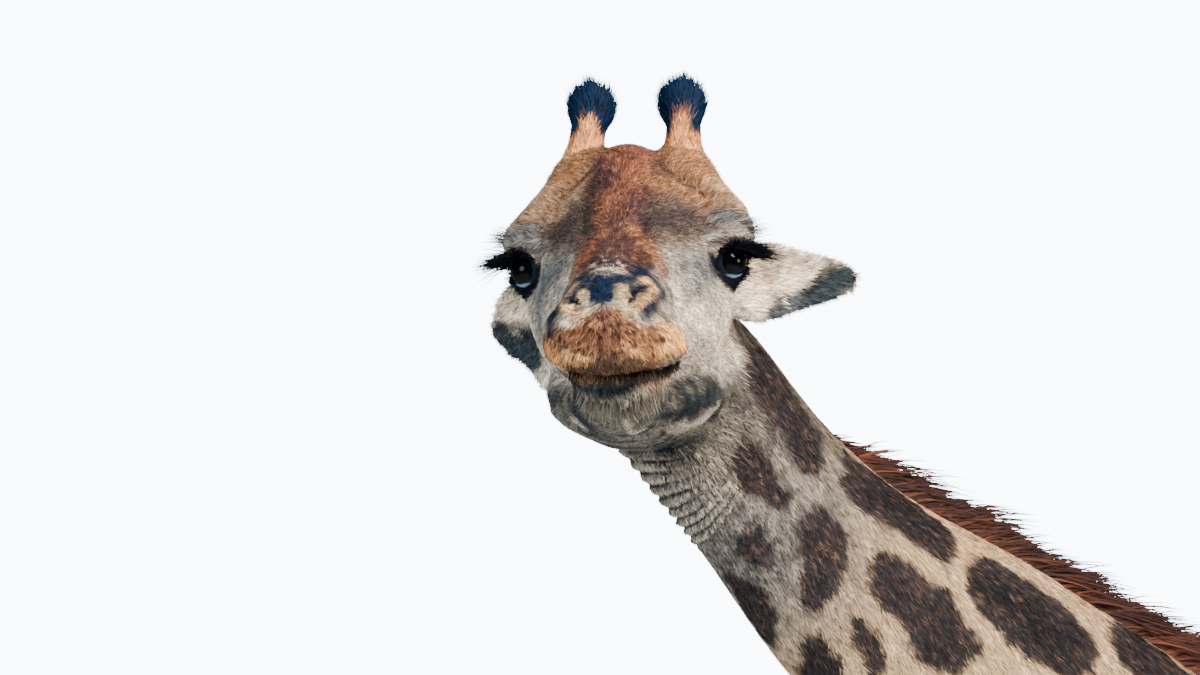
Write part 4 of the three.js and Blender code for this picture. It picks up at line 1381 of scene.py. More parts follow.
def markings(points, patches):
    """The ground colour, and how deep in a patch each point lies; head and belly have none."""
    depth = patch_depth(points, patches)
    in_head = to_head(points)
    bare = smooth_step(0.025, -0.015, behind_head(in_head))
    bare = np.maximum(bare, on_ear(in_head))
    gap = PATCH_GAP * np.interp(points[:, 2], [0.2, 1.4, 2.6], [0.35, 0.8, 1.0])
    depth = (depth - gap) * (1 - bare) - 0.03 * bare
    belly = smooth_step(1.66, 1.57, points[:, 2]) * smooth_step(0.20, 0.10, np.abs(points[:, 0]))
    belly = belly * smooth_step(-0.60, -0.40, points[:, 1]) * smooth_step(0.60, 0.40, points[:, 1])
    return ground_colour(points), depth - 0.06 * belly


# The lie of the coat -------------------------------------------------------------------------

def laid(way, normals):
    """The way, laid flat against the skin."""
    return way - np.sum(way * normals, 1, keepdims=True) * normals


def lie(points, normals):
    """Which way the coat lies at each point of the skin."""
    way = np.zeros_like(points)
    along_neck = np.array([0.0, 0.62, -0.78])
    on_neck = smooth_step(2.45, 2.75, points[:, 2] + 0.2 * (points[:, 1] + 0.6))[:, None]
    on_leg = smooth_step(1.75, 1.45, points[:, 2])[:, None]
    way += np.array([0.0, 0.80, -0.60])
    way = way * (1 - on_leg) + on_leg * np.array([0.0, 0.12, -1.0])
    way = way * (1 - on_neck) + on_neck * along_neck
    in_head = to_head(points)
    x, y, z = in_head.T
    head = np.zeros_like(points)
    head[:, 1] = 1.0
    head[:, 2] = -0.45 + 0.6 * smooth_step(0.02, 0.10, z)
    head[:, 0] = 0.55 * np.sign(x) * smooth_step(0.0, 0.03, np.abs(x))
    front = smooth_step(-0.37, -0.43, y)[:, None]
    radial = np.stack([x, 0 * x, z + 0.012], 1)
    radial = radial / np.maximum(np.linalg.norm(radial, axis=1, keepdims=True), 0.01)
    radial[:, 1] -= 0.25
    head = head * (1 - front) + front * radial
    for ear in EARS:
        along, across = ear_frame(*ear[:3])[2:4]
        share, wide, _, high, _ = ear_place(in_head, ear)
        on = (share > 0.12) & (share < 1.2) & (np.abs(wide) < 1.4) & (np.abs(high) < 0.06)
        head[on] = along + 0.5 * np.clip(wide[on], -1, 1)[:, None] * across
    near = np.maximum(smooth_step(0.06, 0.0, behind_head(in_head)), on_ear(in_head))[:, None]
    way = way * (1 - near) + near * (head @ HEAD_TURNED.T)
    return unit(laid(way, normals))


ISLAND_LEFT, ISLAND_RIGHT = 0.02, 0.51
ISLAND_LOW, ISLAND_HIGH = 0.02, 0.52
ISLAND_TALL = 0.46
NECK_ISLAND_WIDE = 0.44
BODY_ISLAND_WIDE = 0.47
LEG_ISLAND = (0.12, 0.11)


def unwrap(points):
    """Where each root lies on the skin's own flat layout: round and along each part."""
    in_head = to_head(points)
    distance = np.linalg.norm(in_head, axis=1)
    on_head = (in_head[:, 1] < 0.18) & (distance < HEAD_PAINTED)
    turn = np.arctan2(in_head[:, 0], in_head[:, 2] + 0.02) / (2 * math.pi) + 0.5
    u = ISLAND_LEFT + NECK_ISLAND_WIDE * turn
    v = ISLAND_HIGH + ISLAND_TALL * np.clip((in_head[:, 1] + 0.50) / 0.70, 0, 1)
    body_turn = np.arctan2(points[:, 0], points[:, 2] - 2.0) / (2 * math.pi) + 0.5
    on_leg = (points[:, 2] < 1.5) & ~on_head
    fore = points[:, 1] < 0.1
    centre_x = np.where(points[:, 0] > 0, STANCE, -STANCE)
    centre_y = np.where(fore, FORE_FOOT_Y + 0.03, HIND_FOOT_Y + 0.02)
    leg_turn = np.arctan2(points[:, 0] - centre_x, points[:, 1] - centre_y) / (2 * math.pi) + 0.5
    which = 2 * fore + (points[:, 0] > 0)
    u_leg = ISLAND_RIGHT + LEG_ISLAND[0] * which + LEG_ISLAND[1] * leg_turn
    v_leg = ISLAND_HIGH + ISLAND_TALL * points[:, 2] / 1.5
    neck_turn = np.arctan2(points[:, 0], points[:, 1] + 0.25 + 0.75 * (points[:, 2] - 2.0))
    u_neck = ISLAND_LEFT + NECK_ISLAND_WIDE * (neck_turn / (2 * math.pi) + 0.5)
    v_neck = ISLAND_LOW + ISLAND_TALL * np.clip((points[:, 2] - 2.3) / 1.6, 0, 1)
    on_neck = (points[:, 2] > 2.45) & (points[:, 1] < -0.45) & ~on_head
    u_body = ISLAND_RIGHT + BODY_ISLAND_WIDE * body_turn
    v_body = ISLAND_LOW + ISLAND_TALL * np.clip((points[:, 1] + 1.0) / 2.2, 0, 1)
    u = np.where(on_head, u, np.where(on_leg, u_leg, np.where(on_neck, u_neck, u_body)))
    v = np.where(on_head, v, np.where(on_leg, v_leg, np.where(on_neck, v_neck, v_body)))
    return np.stack([u, v], 1)


TUFT_PATCH = 0.003


class Roots:
    """Places on the skin from which hair grows, with all that a tuft takes from its root."""

    def __init__(self, place, normal, way, ground, depth):
        self.place = place
        self.normal = normal
        self.way = way
        self.ground = ground
        self.depth = depth

    def __len__(self):
        return len(self.place)


def sprinkle(skin, share, count, rng):
    """This many roots on the skin, as dense as the share asks at each corner."""
    corners, normals, triangles = skin["place"], skin["normal"], skin["triangles"]
    a, b, c = (corners[triangles[:, i]] for i in range(3))
    area = 0.5 * np.linalg.norm(np.cross(b - a, c - a), axis=1)
    weight = area * share[triangles].mean(1)
    total = np.cumsum(weight)
    spots = (np.arange(count) + rng.random(count)) * total[-1] / count
    face = np.minimum(np.searchsorted(total, spots), len(area) - 1)
    r1, r2 = np.sqrt(rng.random(count)), rng.random(count)
    mixer = np.stack([1 - r1, r1 * (1 - r2), r1 * r2], 1)[:, :, None]
    corner = triangles[face]
    take = lambda values: (values[corner] * mixer).sum(1)
    depth = (skin["depth"][corner] * mixer[:, :, 0]).sum(1)
    return Roots(take(corners), unit(take(normals)), unit(take(skin["way"])),
                 take(skin["ground"]), depth)


def tuft_mesh(name, roots, length, width, lift, rng, sections=1, sag=(0, 0, 0), waver=0.25,
              soft=0.5):
    """Tufts as thin tapering blades, one for each root, joined in one mesh."""
    n = len(roots)
    length = np.broadcast_to(length, n) * rng.uniform(0.7, 1.3, n)
    width = np.broadcast_to(width, n) * rng.uniform(0.75, 1.25, n)
    lift = np.broadcast_to(lift, n) * rng.uniform(0.6, 1.4, n)
    side = np.cross(roots.normal, roots.way)
    stray = rng.normal(0, waver, n)[:, None]
    way = unit(roots.way + stray * side)
    side = np.cross(roots.normal, way)
    roll = rng.normal(0, 0.35, n)[:, None]
    flat = unit(side + roll * roots.normal)
    per = 2 * sections + 1
    t = np.linspace(0, 1, sections + 1)
    place = np.empty((n, per, 3))
    rise = roots.normal * lift[:, None]
    for i, at in enumerate(t):
        middle = roots.place + length[:, None] * (at * way + (1 - 0.45 * at) * at * rise
                                                  + at * at * np.asarray(sag))
        if i < sections:
            half = 0.5 * width * (1 - 0.8 * at * at)
            place[:, 2 * i] = middle - half[:, None] * flat
            place[:, 2 * i + 1] = middle + half[:, None] * flat
        else:
            place[:, 2 * i] = middle
    base = (np.arange(n) * per)[:, None]
    triangles = []
    for i in range(sections - 1):
        triangles += [[2 * i, 2 * i + 3, 2 * i + 1], [2 * i, 2 * i + 2, 2 * i + 3]]
    last = 2 * (sections - 1)
    triangles += [[last, last + 2, last + 1]]
    faces = (base[:, None] + np.asarray(triangles)[None]).reshape(-1, 3)
    mesh = new_mesh(name, place.reshape(-1, 3) - ORIGIN, faces)
    tip = np.concatenate([np.repeat(t[:-1], 2), t[-1:]])
    add_attribute(mesh, "root", "FLOAT_VECTOR", np.repeat(roots.place - ORIGIN, per, 0))
    add_attribute(mesh, "ground", "FLOAT_COLOR", np.repeat(roots.ground, per, 0))
    add_attribute(mesh, "patch", "FLOAT", np.repeat(roots.depth, per))
    add_attribute(mesh, "tip", "FLOAT", np.tile(tip, n))
    add_attribute(mesh, "tuft", "FLOAT", np.repeat(rng.random(n), per))
    flat_place = unwrap(roots.place)
    across = np.concatenate([np.tile([-0.5, 0.5], sections), [0.0]])
    spread = TUFT_PATCH * np.stack([across, tip - 0.5], 1)
    uv = (flat_place[:, None] + spread[None]).reshape(-1, 2)
    layer = mesh.uv_layers.new(name="OFBake")
    layer.data.foreach_set("uv", uv[faces.ravel()].astype(np.float32).ravel())
    normal = unit(soft * roots.normal + (1 - soft) * np.cross(way, flat))
    mesh.polygons.foreach_set("use_smooth", np.ones(len(faces), bool))
    mesh.normals_split_custom_set_from_vertices(np.repeat(normal, per, 0))
    mesh.update()
    return mesh


def grow(name, roots, length, width, lift, rng, material, slot, nodes=(), **shape):
    """Hair from the roots, put in the scene as a piece."""
    mesh = tuft_mesh(name, roots, length, width, lift, rng, **shape)
    show(name, mesh, material, nodes)


# Materials -----------------------------------------------------------------------------------

def card(*colour):
    """A colour from the colour card, as a socket takes it."""
    return (*map(float, paint(*colour)), 1.0)


class Sheet:
    """A node tree that is laid out one node at a time."""

    def __init__(self, tree):
        self.tree = tree

    def node(self, kind, values=None, **settings):
        """A new node, its sockets set to values or linked."""
        node = self.tree.nodes.new("ShaderNode" + kind)
        for key, value in settings.items():
            setattr(node, key, value)
        for socket, value in (values or {}).items():
            target = node.inputs[socket]
            if isinstance(value, bpy.types.NodeSocket):
                self.tree.links.new(value, target)
            else:
                target.default_value = value
        return node

    def attribute(self, name, output):
        """A named value of the mesh."""
        return self.node("Attribute", attribute_name=name).outputs[output]

    def sum(self, kind, a, b, c=None):
        """A sum of this kind over two or three values."""
        values = {0: a, 1: b}
        if c is not None:
            values[2] = c
        return self.node("Math", values, operation=kind).outputs[0]

    def grade(self, value, low, high, start=0.0, end=1.0):
        """A soft step from start at low to end at high."""
        values = {"Value": value, "From Min": low, "From Max": high, "To Min": start, "To Max": end}
        return self.node("MapRange", values, interpolation_type="SMOOTHSTEP").outputs[0]

    def noise(self, vector, scale, detail=2.0):
        """Soft noise about one half."""
        values = {"Vector": vector, "Scale": scale, "Detail": detail}
        return self.node("TexNoise", values).outputs["Fac"]

    def blend(self, share, a, b):
        """Colour a, with this share of b."""
        node = self.node("Mix", {0: share}, data_type="RGBA")
        for socket, value in ((node.inputs[6], a), (node.inputs[7], b)):
            if isinstance(value, bpy.types.NodeSocket):
                self.tree.links.new(value, socket)
            else:
                socket.default_value = value
        return node.outputs[2]


# The pattern's noises, as lumps to a metre and their detail, and how they fray a patch's edge.
RAGGED = (55.0, 3.0)
HAIRY = (330.0, 2.0)
FLECKED = (170.0, 3.0)
CLOUDED = (14.0, 2.0)
FRAYED_WIDE = 0.030
FRAYED_FINE = 0.022
PATCH_EDGE = (0.0235, 0.0285)
PATCH_DARK = (32, 33, 38)
PATCH_BROWN = (51, 48, 49)
PATCH_FLECK = (104, 80, 68)


def coat_pattern():
    """The animal's pattern: dark patches, pale lines, and every tuft a little its own."""
    group = bpy.data.node_groups.new("coat_pattern", "ShaderNodeTree")
    face = group.interface
    for name in ("Tip Shade", "Tuft Shade"):
        face.new_socket(name=name, in_out="INPUT", socket_type="NodeSocketFloat")
    face.new_socket(name="Color", in_out="OUTPUT", socket_type="NodeSocketColor")
    face.new_socket(name="Hair Height", in_out="OUTPUT", socket_type="NodeSocketFloat")
    sheet = Sheet(group)
    given = group.nodes.new("NodeGroupInput")
    root = sheet.attribute("root", "Vector")
    ground = sheet.attribute("ground", "Color")
    depth = sheet.attribute("patch", "Fac")
    ragged, hairy, flecks, cloudy = (
        sheet.noise(root, *noise) for noise in (RAGGED, HAIRY, FLECKED, CLOUDED))
    edge = sheet.sum("MULTIPLY_ADD", ragged, FRAYED_WIDE, depth)
    edge = sheet.sum("MULTIPLY_ADD", hairy, FRAYED_FINE, edge)
    inside = sheet.grade(edge, *PATCH_EDGE)
    deep = sheet.grade(depth, 0.0, 0.05)
    brown = sheet.blend(deep, card(*PATCH_BROWN), card(*PATCH_DARK))
    bright = sheet.grade(flecks, 0.50, 0.68)
    bright = sheet.sum("MULTIPLY", bright, 0.75)
    brown = sheet.blend(bright, brown, card(*PATCH_FLECK))
    shade = sheet.grade(hairy, 0.36, 0.64, 0.48, 1.45)
    worn = sheet.grade(cloudy, 0.3, 0.7, 0.92, 1.08)
    shade = sheet.sum("MULTIPLY", shade, worn)
    colour = sheet.blend(inside, ground, brown)
    tip = sheet.sum("SUBTRACT", sheet.attribute("tip", "Fac"), 0.5)
    tip = sheet.sum("MULTIPLY", tip, given.outputs["Tip Shade"])
    tuft = sheet.sum("SUBTRACT", sheet.attribute("tuft", "Fac"), 0.5)
    tuft = sheet.sum("MULTIPLY", tuft, given.outputs["Tuft Shade"])
    own = sheet.sum("ADD", sheet.sum("ADD", tip, tuft), 1.0)
    shade = sheet.sum("MULTIPLY", shade, sheet.sum("MAXIMUM", own, 0.05))
    colour = sheet.node("VectorMath", {0: colour, 3: shade}, operation="SCALE").outputs[0]
    given_out = group.nodes.new("NodeGroupOutput")
    group.links.new(colour, given_out.inputs["Color"])
    group.links.new(hairy, given_out.inputs["Hair Height"])
    return group


def plain_material(name, roughness, **sockets):
    """A new material, its sheet of nodes and its shader."""
    material = bpy.data.materials.new(name)
    material.use_nodes = True
    shader = material.node_tree.nodes["Principled BSDF"]
    shader.inputs["Roughness"].default_value = roughness
    for key, value in sockets.items():
        shader.inputs[key.replace("_", " ")].default_value = value
    return material, Sheet(material.node_tree), shader


def hair_material(name, tip, tuft, roughness, specular, bump=0.0):
    """A coat of the animal's pattern, its hairs a little lighter towards the tip."""
    material, sheet, shader = plain_material(name, roughness, Specular_IOR_Level=specular)
    coat = material.node_tree.nodes.new("ShaderNodeGroup")
    coat.node_tree = PATTERN
    coat.inputs["Tip Shade"].default_value = tip
    coat.inputs["Tuft Shade"].default_value = tuft
    sheet.tree.links.new(coat.outputs["Color"], shader.inputs["Base Color"])
    if bump:
        raised = sheet.node("Bump", {"Height": coat.outputs["Hair Height"], "Strength": bump,
                                     "Distance": 0.002})
        sheet.tree.links.new(raised.outputs[0], shader.inputs["Normal"])
    return material


PATTERN = coat_pattern()
SKIN_HAIR = hair_material("short_coat", 0, 0, 0.85, 0.08, bump=0.6)
COAT_HAIR = hair_material("coat_tufts", 0.6, 1.3, 0.75, 0.08)
MANE_HAIR = hair_material("mane_hair", -0.9, 0.9, 0.6, 0.15)
DARK_HAIR = hair_material("dark_hair", 0.2, 0.6, 0.6, 0.12)


IRIS = ((4, 6, 12), (14, 12, 16))
PUPIL = (4, 5, 8)
LIMB = (40, 48, 62)
LOW_RIM = (120, 142, 168)


def eye_material():
    """A dark wet eye: brown iris, long level pupil, blue-white rim where the lid drops."""
    material, sheet, shader = plain_material("wet_eye", 0.12, Coat_Weight=0.04,
                                             Coat_Roughness=0.03, Specular_IOR_Level=0.08)
    gaze = sheet.node("SeparateXYZ", {0: sheet.attribute("gaze", "Vector")})
    ahead, up, out = gaze.outputs
    streaks = sheet.noise(sheet.attribute("gaze", "Vector"), 18.0, 3.0)
    iris = sheet.blend(streaks, card(*IRIS[0]), card(*IRIS[1]))
    long = sheet.sum("MULTIPLY", ahead, 0.55)
    away = sheet.sum("ADD", sheet.sum("MULTIPLY", long, long), sheet.sum("MULTIPLY", up, up))
    pupil = sheet.grade(away, 0.05, 0.09)
    dark = sheet.blend(pupil, card(*PUPIL), iris)
    limb = sheet.grade(out, 0.66, 0.72)
    colour = sheet.blend(limb, card(*LIMB), dark)
    low = sheet.grade(up, -0.58, -0.68)
    low = sheet.sum("MULTIPLY", low, sheet.grade(out, 0.78, 0.70))
    colour = sheet.blend(low, colour, card(*LOW_RIM))
    sheet.tree.links.new(colour, shader.inputs["Base Color"])
    return material


HOOF_GRAIN = (30, 30, 400)
HOOF_DARK = (44, 38, 34)
HOOF_LIGHT = (84, 72, 60)
HOOF_DUST = (150, 132, 108)


def hoof_material():
    """Hoof horn: grown in layers, a little worn and dusty."""
    material, sheet, shader = plain_material("hoof_horn", 0.5, Specular_IOR_Level=0.4)
    place = sheet.node("TexCoord").outputs["Object"]
    stretched = sheet.node("Mapping", {"Vector": place, "Scale": HOOF_GRAIN}).outputs[0]
    fine = sheet.noise(stretched, 1.0, 4.0)
    worn = sheet.noise(place, 30.0, 3.0)
    colour = sheet.blend(fine, card(*HOOF_DARK), card(*HOOF_LIGHT))
    dusty = sheet.grade(worn, 0.55, 0.75, 0.0, 0.5)
    colour = sheet.blend(dusty, colour, card(*HOOF_DUST))
    raised = sheet.node("Bump", {"Height": fine, "Strength": 0.5, "Distance": 0.002})
    sheet.tree.links.new(colour, shader.inputs["Base Color"])
    sheet.tree.links.new(raised.outputs[0], shader.inputs["Normal"])
    sheet.tree.links.new(sheet.grade(worn, 0.3, 0.7, 0.42, 0.62), shader.inputs["Roughness"])
    return material


HOOF = hoof_material()
EYE_WET = eye_material()


# The skin ------------------------------------------------------------------------------------

HEAD_CELL = 0.0051
BODY_CELL = 0.0208
NECK_CUT = Vector((-0.034, -1.600, 3.562))
NECK_CUT_WAY = Vector((-0.10, -0.707, 0.70)).normalized()


NECK_GAP = 0.004
RIM_MERGE = 0.0012
HEAD_BLOCK = ((0.0, -0.09, -0.01), (0.30, 0.42, 0.25))
BODY_BLOCK = ((0, -0.45, 1.98), (0.42, 1.42, 1.95))
LEGS_FINE = 1.10
FINE_ON_HEAD = (
    # place in the head's own frame, and how far round it the cells are halved
    ((0.122, -0.014, 0.032), 0.046), ((-0.122, -0.014, 0.032), 0.046),
    ((0.122, -0.014, 0.032), 0.032), ((-0.122, -0.014, 0.032), 0.032),
    ((0.0, -0.46, -0.01), 0.050),
)


def near_point(centre, reach):
    """What tells whether places lie this close to the centre."""
    return lambda places: away_from(np.asarray(centre), places) < reach


def turn_outwards(bm):
    """Make every face look out of the form."""
    bmesh.ops.recalc_face_normals(bm, faces=bm.faces[:])
    if bm.calc_volume(signed=True) < 0:
        bmesh.ops.reverse_faces(bm, faces=bm.faces[:])


def build_skin():
    """The head's block and the body's, finer where the form asks for it, joined at the neck."""
    head_block = Block(from_head(HEAD_BLOCK[:1])[0], HEAD_BLOCK[1], HEAD_CELL, HEAD_TURNED)
    head = skin_block("head_skin", skin_form, head_block, 0.0019)
    body_block = Block(*BODY_BLOCK, BODY_CELL)
    body = skin_block("body_skin", skin_form, body_block, 0.006)
    with edited(body) as bm:
        for chosen, reach in ((near_point(NECK_CUT, 0.45), 0.004),
                              (near_point(NECK_CUT, 0.18), 0.003),
                              (near_point(THROAT_AT + [0, 0.015, -0.015], 0.125), 0.002),
                              (lambda places: places[:, 2] < LEGS_FINE, 0.004), (slender, 0.004)):
            refine(bm, skin_form, chosen, reach)
    with edited(head) as bm:
        for place, room in FINE_ON_HEAD:
            refine(bm, skin_form, near_point(from_head([place])[0], room), 0.001)
    bm = join_blocks(body, head, NECK_CUT, NECK_CUT_WAY, NECK_GAP, RIM_MERGE)
    bmesh.ops.holes_fill(bm, edges=[e for e in bm.edges if e.is_boundary], sides=0)
    bmesh.ops.triangulate(bm, faces=bm.faces[:])
    turn_outwards(bm)
    mesh = bpy.data.meshes.new("skin")
    bm.to_mesh(mesh)
    bm.free()
    bpy.data.meshes.remove(head)
    bpy.data.meshes.remove(body)
    return mesh


def read_mesh(mesh):
    """The mesh's corners, their normals and its triangles, for hair to grow from."""
    place, normal = np.empty((2, len(mesh.vertices) * 3), np.float32)
    mesh.vertices.foreach_get("co", place)
    mesh.vertex_normals.foreach_get("vector", normal)
    triangles = np.empty(len(mesh.polygons) * 3, np.int32)
    mesh.polygons.foreach_get("vertices", triangles)
    return {"place": place.reshape(-1, 3).astype(float), "triangles": triangles.reshape(-1, 3),
            "normal": normal.reshape(-1, 3).astype(float)}


def read_skin(mesh):
    """The skin's corners with their markings and the lie of the coat."""
    skin = read_mesh(mesh)
    skin["ground"], skin["depth"] = markings(skin["place"], lay_patches(skin["place"], 4))
    skin["way"] = lie(skin["place"], skin["normal"])
    return skin


def smooth_shaded(mesh):
    """Shade every face of the mesh smoothly."""
    mesh.polygons.foreach_set("use_smooth", np.ones(len(mesh.polygons), bool))
    mesh.update()


def carry_home(mesh):
    """Bring a mesh from the tables' place to the finished animal's, and smooth it."""
    mesh.transform(Matrix.Translation(Vector(-ORIGIN)))
    smooth_shaded(mesh)


def finish_skin(name, mesh, skin, shade, nodes):
    """Give a skin its markings, a little darker than its hair, and put it in the scene."""
    add_attribute(mesh, "root", "FLOAT_VECTOR", skin["place"] - ORIGIN)
    add_attribute(mesh, "ground", "FLOAT_COLOR", skin["ground"] * shade)
    add_attribute(mesh, "patch", "FLOAT", skin["depth"])
    carry_home(mesh)
    show(name, mesh, SKIN_HAIR, nodes)


FLESH_NODES = ("head", "lower_jaw", "ear_left", "ear_right", "neck", "trunk", "tail",
               "foreleg_left", "foreleg_right", "hindleg_left", "hindleg_right")


skin_mesh = build_skin()
SKIN = read_skin(skin_mesh)
finish_skin("skin", skin_mesh, SKIN, 0.8, FLESH_NODES)
rng = np.random.default_rng(7)


# Coat tufts ------------------------------------------------------------------------------------

def clear_of(points):
    """One where short hair grows, nothing on the bare rims of eye, nostril and mouth."""
    in_head = to_head(points)
    out, reach = eye_place(mirrored(in_head))[2:]
    bare = smooth_step(EYE_RADIUS + 0.009, EYE_RADIUS + 0.005, reach) * (out > 0)
    for row in NOSTRILS:
        bare = np.maximum(bare, within(in_head, row, 0.004))
    return 1.0 - bare


COAT_TUFTS = 190000
IN_HEAD = to_head(SKIN["place"])
HEAD_REACH = np.linalg.norm(IN_HEAD, axis=1)
ON_HEAD = smooth_step(0.06, 0.0, behind_head(IN_HEAD)) * clear_of(SKIN["place"])
ON_HEAD = np.maximum(ON_HEAD, on_ear(IN_HEAD))
NECK_NEAR = smooth_step(1.35, 1.15, HEAD_REACH) * (1 - ON_HEAD)
REST = (1 - ON_HEAD) * (1 - NECK_NEAR) * (SKIN["place"][:, 2] > 0.118)


def grow_coat():
    """The short coat, in pieces small enough to handle: the face, the neck, and the rest."""
    face = sprinkle(SKIN, ON_HEAD, COAT_TUFTS, rng)
    face.ground = ground_colour(face.place)
    short = np.interp(to_head(face.place)[:, 1], [-0.45, -0.30, 0.1], [0.006, 0.008, 0.011])
    grow("face_coat_tufts", face, short, 0.0013, 0.22, rng, COAT_HAIR, "face_coat")
    for part, where, width, lift in (("neck", NECK_NEAR, 0.0018, 0.16),
                                     ("body", REST, 0.0036, 0.12)):
        for number in (1, 2):
            roots = sprinkle(SKIN, where, COAT_TUFTS, rng)
            long = 0.022
            if part == "neck":
                long = np.interp(away_from(THROAT_AT, roots.place), [0.10, 0.22], [0.0055, 0.013])
            name = "%s_coat_tufts_%d" % (part, number)
            grow(name, roots, long, width, lift, rng, COAT_HAIR, "body_coat")


grow_coat()


# Eyes --------------------------------------------------------------------------------------

CORNEA_FROM = 0.62 * EYE_RADIUS
CORNEA_RISE = 1.22


def clear_selection():
    """Deselect everything."""
    for thing in bpy.context.view_layer.objects:
        thing.select_set(False)


def build_eye(name, sign, node):
    """An eyeball with its cornea standing a little proud, turned outwards."""
    clear_selection()
    bpy.ops.mesh.primitive_uv_sphere_add(segments=48, ring_count=32, radius=EYE_RADIUS)
    ball = bpy.context.object
    bpy.ops.object.mode_set(mode="EDIT")
    bpy.ops.mesh.select_all(action="DESELECT")
    bpy.ops.object.mode_set(mode="OBJECT")
    for corner in ball.data.vertices:
        corner.select = corner.co.z > CORNEA_FROM
    bpy.ops.object.mode_set(mode="EDIT")
    bpy.ops.transform.resize(value=(1, 1, CORNEA_RISE), center_override=(0, 0, CORNEA_FROM))
    bpy.ops.object.mode_set(mode="OBJECT")
    mesh = ball.data
    corners = np.array([v.co for v in mesh.vertices])
    side, up, out = (np.array(v) for v in (EYE_SIDE, EYE_UP, EYE_AXIS / np.linalg.norm(EYE_AXIS)))
    placed = corners @ np.stack([side, up, out]) + EYE_AT
    gaze = unit(corners)
    if sign < 0:
        placed[:, 0] = -placed[:, 0]
        mesh.flip_normals()
    placed = from_head(placed) - ORIGIN
    mesh.vertices.foreach_set("co", placed.astype(np.float32).ravel())
    add_attribute(mesh, "gaze", "FLOAT_VECTOR", gaze)
    smooth_shaded(mesh)
    bpy.data.objects.remove(ball)
    mesh.name = name
    show(name, mesh, EYE_WET, (node,))


build_eye("eyeball_left", 1, "eye_left")
build_eye("eyeball_right", -1, "eye_right")


# Horns and their tufts -------------------------------------------------------------------------

HORN_HAIRS = 9000
HORN_LIE = np.array([0.0, 0.45, 0.89])
HORN_CELL = 0.0036
HORN = millimetres([
    [61, 72, 128, 35, 35, 34], [57, 84, 158, 22, 22, 22], [55, 104, 188, 18, 18, 18],
    [53, 116, 206, 22, 22, 21], [52, 125, 219, 20, 20, 20],
])


def horn_form(side):
    """One horn, from points in the head's own frame."""
    rows = [[shift + side * x] + rest for shift, (x, *rest) in zip(HORN_SHIFT, HORN)]
    return Loft(rows, up=(0, -1, 0.3), start=0.008, end=0.012, steps=8)


def build_horn(name, side, node):
    """A horn's skin, tan below and black over its knob, and the hair on it."""
    form = horn_form(side)
    middle = from_head([[HORN_SHIFT[2] + side * 0.057, 0.100, 0.180]])[0]
    block = Block(middle, (0.060, 0.080, 0.085), HORN_CELL, HEAD_TURNED)
    in_body = lambda points: form.distance(to_head(points))
    mesh = skin_block(name, in_body, block, 0.0015)
    with edited(mesh) as bm:
        bmesh.ops.triangulate(bm, faces=bm.faces[:])
        turn_outwards(bm)
    data = read_mesh(mesh)
    count = len(data["place"])
    in_head = to_head(data["place"])
    beside = smooth_step(0.004, 0.016, np.abs(in_head[:, 0] - HORN_SHIFT[2] - side * 0.054))
    up = smooth_step(0.188, 0.204, in_head[:, 2] + 0.005 * cloud(in_head, 0.012, 21)
                     + 0.020 * beside)
    worn = smooth_step(0.0, 0.6, cloud(in_head * [1, 0.4, 0.4], 0.0030, 22))
    brown = mix(many(HORN_TAN, count), PLUM, 0.6 * worn)
    data["ground"] = mix(brown, HORN_BLACK, up)
    data["depth"] = np.full(count, NO_PATCH)
    way = laid(many(HORN_LIE @ HEAD_TURNED.T, count), data["normal"])
    data["way"] = unit(way + 0.15 * data["normal"])
    finish_skin(name, mesh, data, 1.0, (node,))
    hairs = sprinkle(data, np.ones(count), HORN_HAIRS, rng)
    top = smooth_step(0.185, 0.205, to_head(hairs.place)[:, 2])
    long = 0.009 + 0.014 * top
    grow(name + "_tufts", hairs, long, 0.0015, 0.18 + 0.12 * top, rng, DARK_HAIR, "horn",
         sections=2, waver=0.26)


build_horn("horn_skin_left", 1, "horn_left")
build_horn("horn_skin_right", -1, "horn_right")


# Long hair ---------------------------------------------------------------------------------

AUBURN = paint(76, 42, 30)
DARK_AUBURN = paint(34, 24, 28)
BLACK_HAIR = paint(18, 22, 30)


def rooted(places, normals, ways, colours):
    """Roots of plain hair, which takes no patches."""
    count = len(places)
    colours = np.broadcast_to(colours, (count, 3)).copy()
    return Roots(np.asarray(places), unit(np.asarray(normals)), unit(np.asarray(ways)), colours,
                 np.full(count, NO_PATCH))


MANE_RISE = ((2, 0.030), (3, 0.046), (4, 0.056), (5, 0.060), (6, 0.048), (6.6, 0.044),
             (7.2, 0.052), (7.6, 0.040), (7.9, 0.020), (8.3, 0.006), (10, 0.004))
MANE_HALF = 0.015


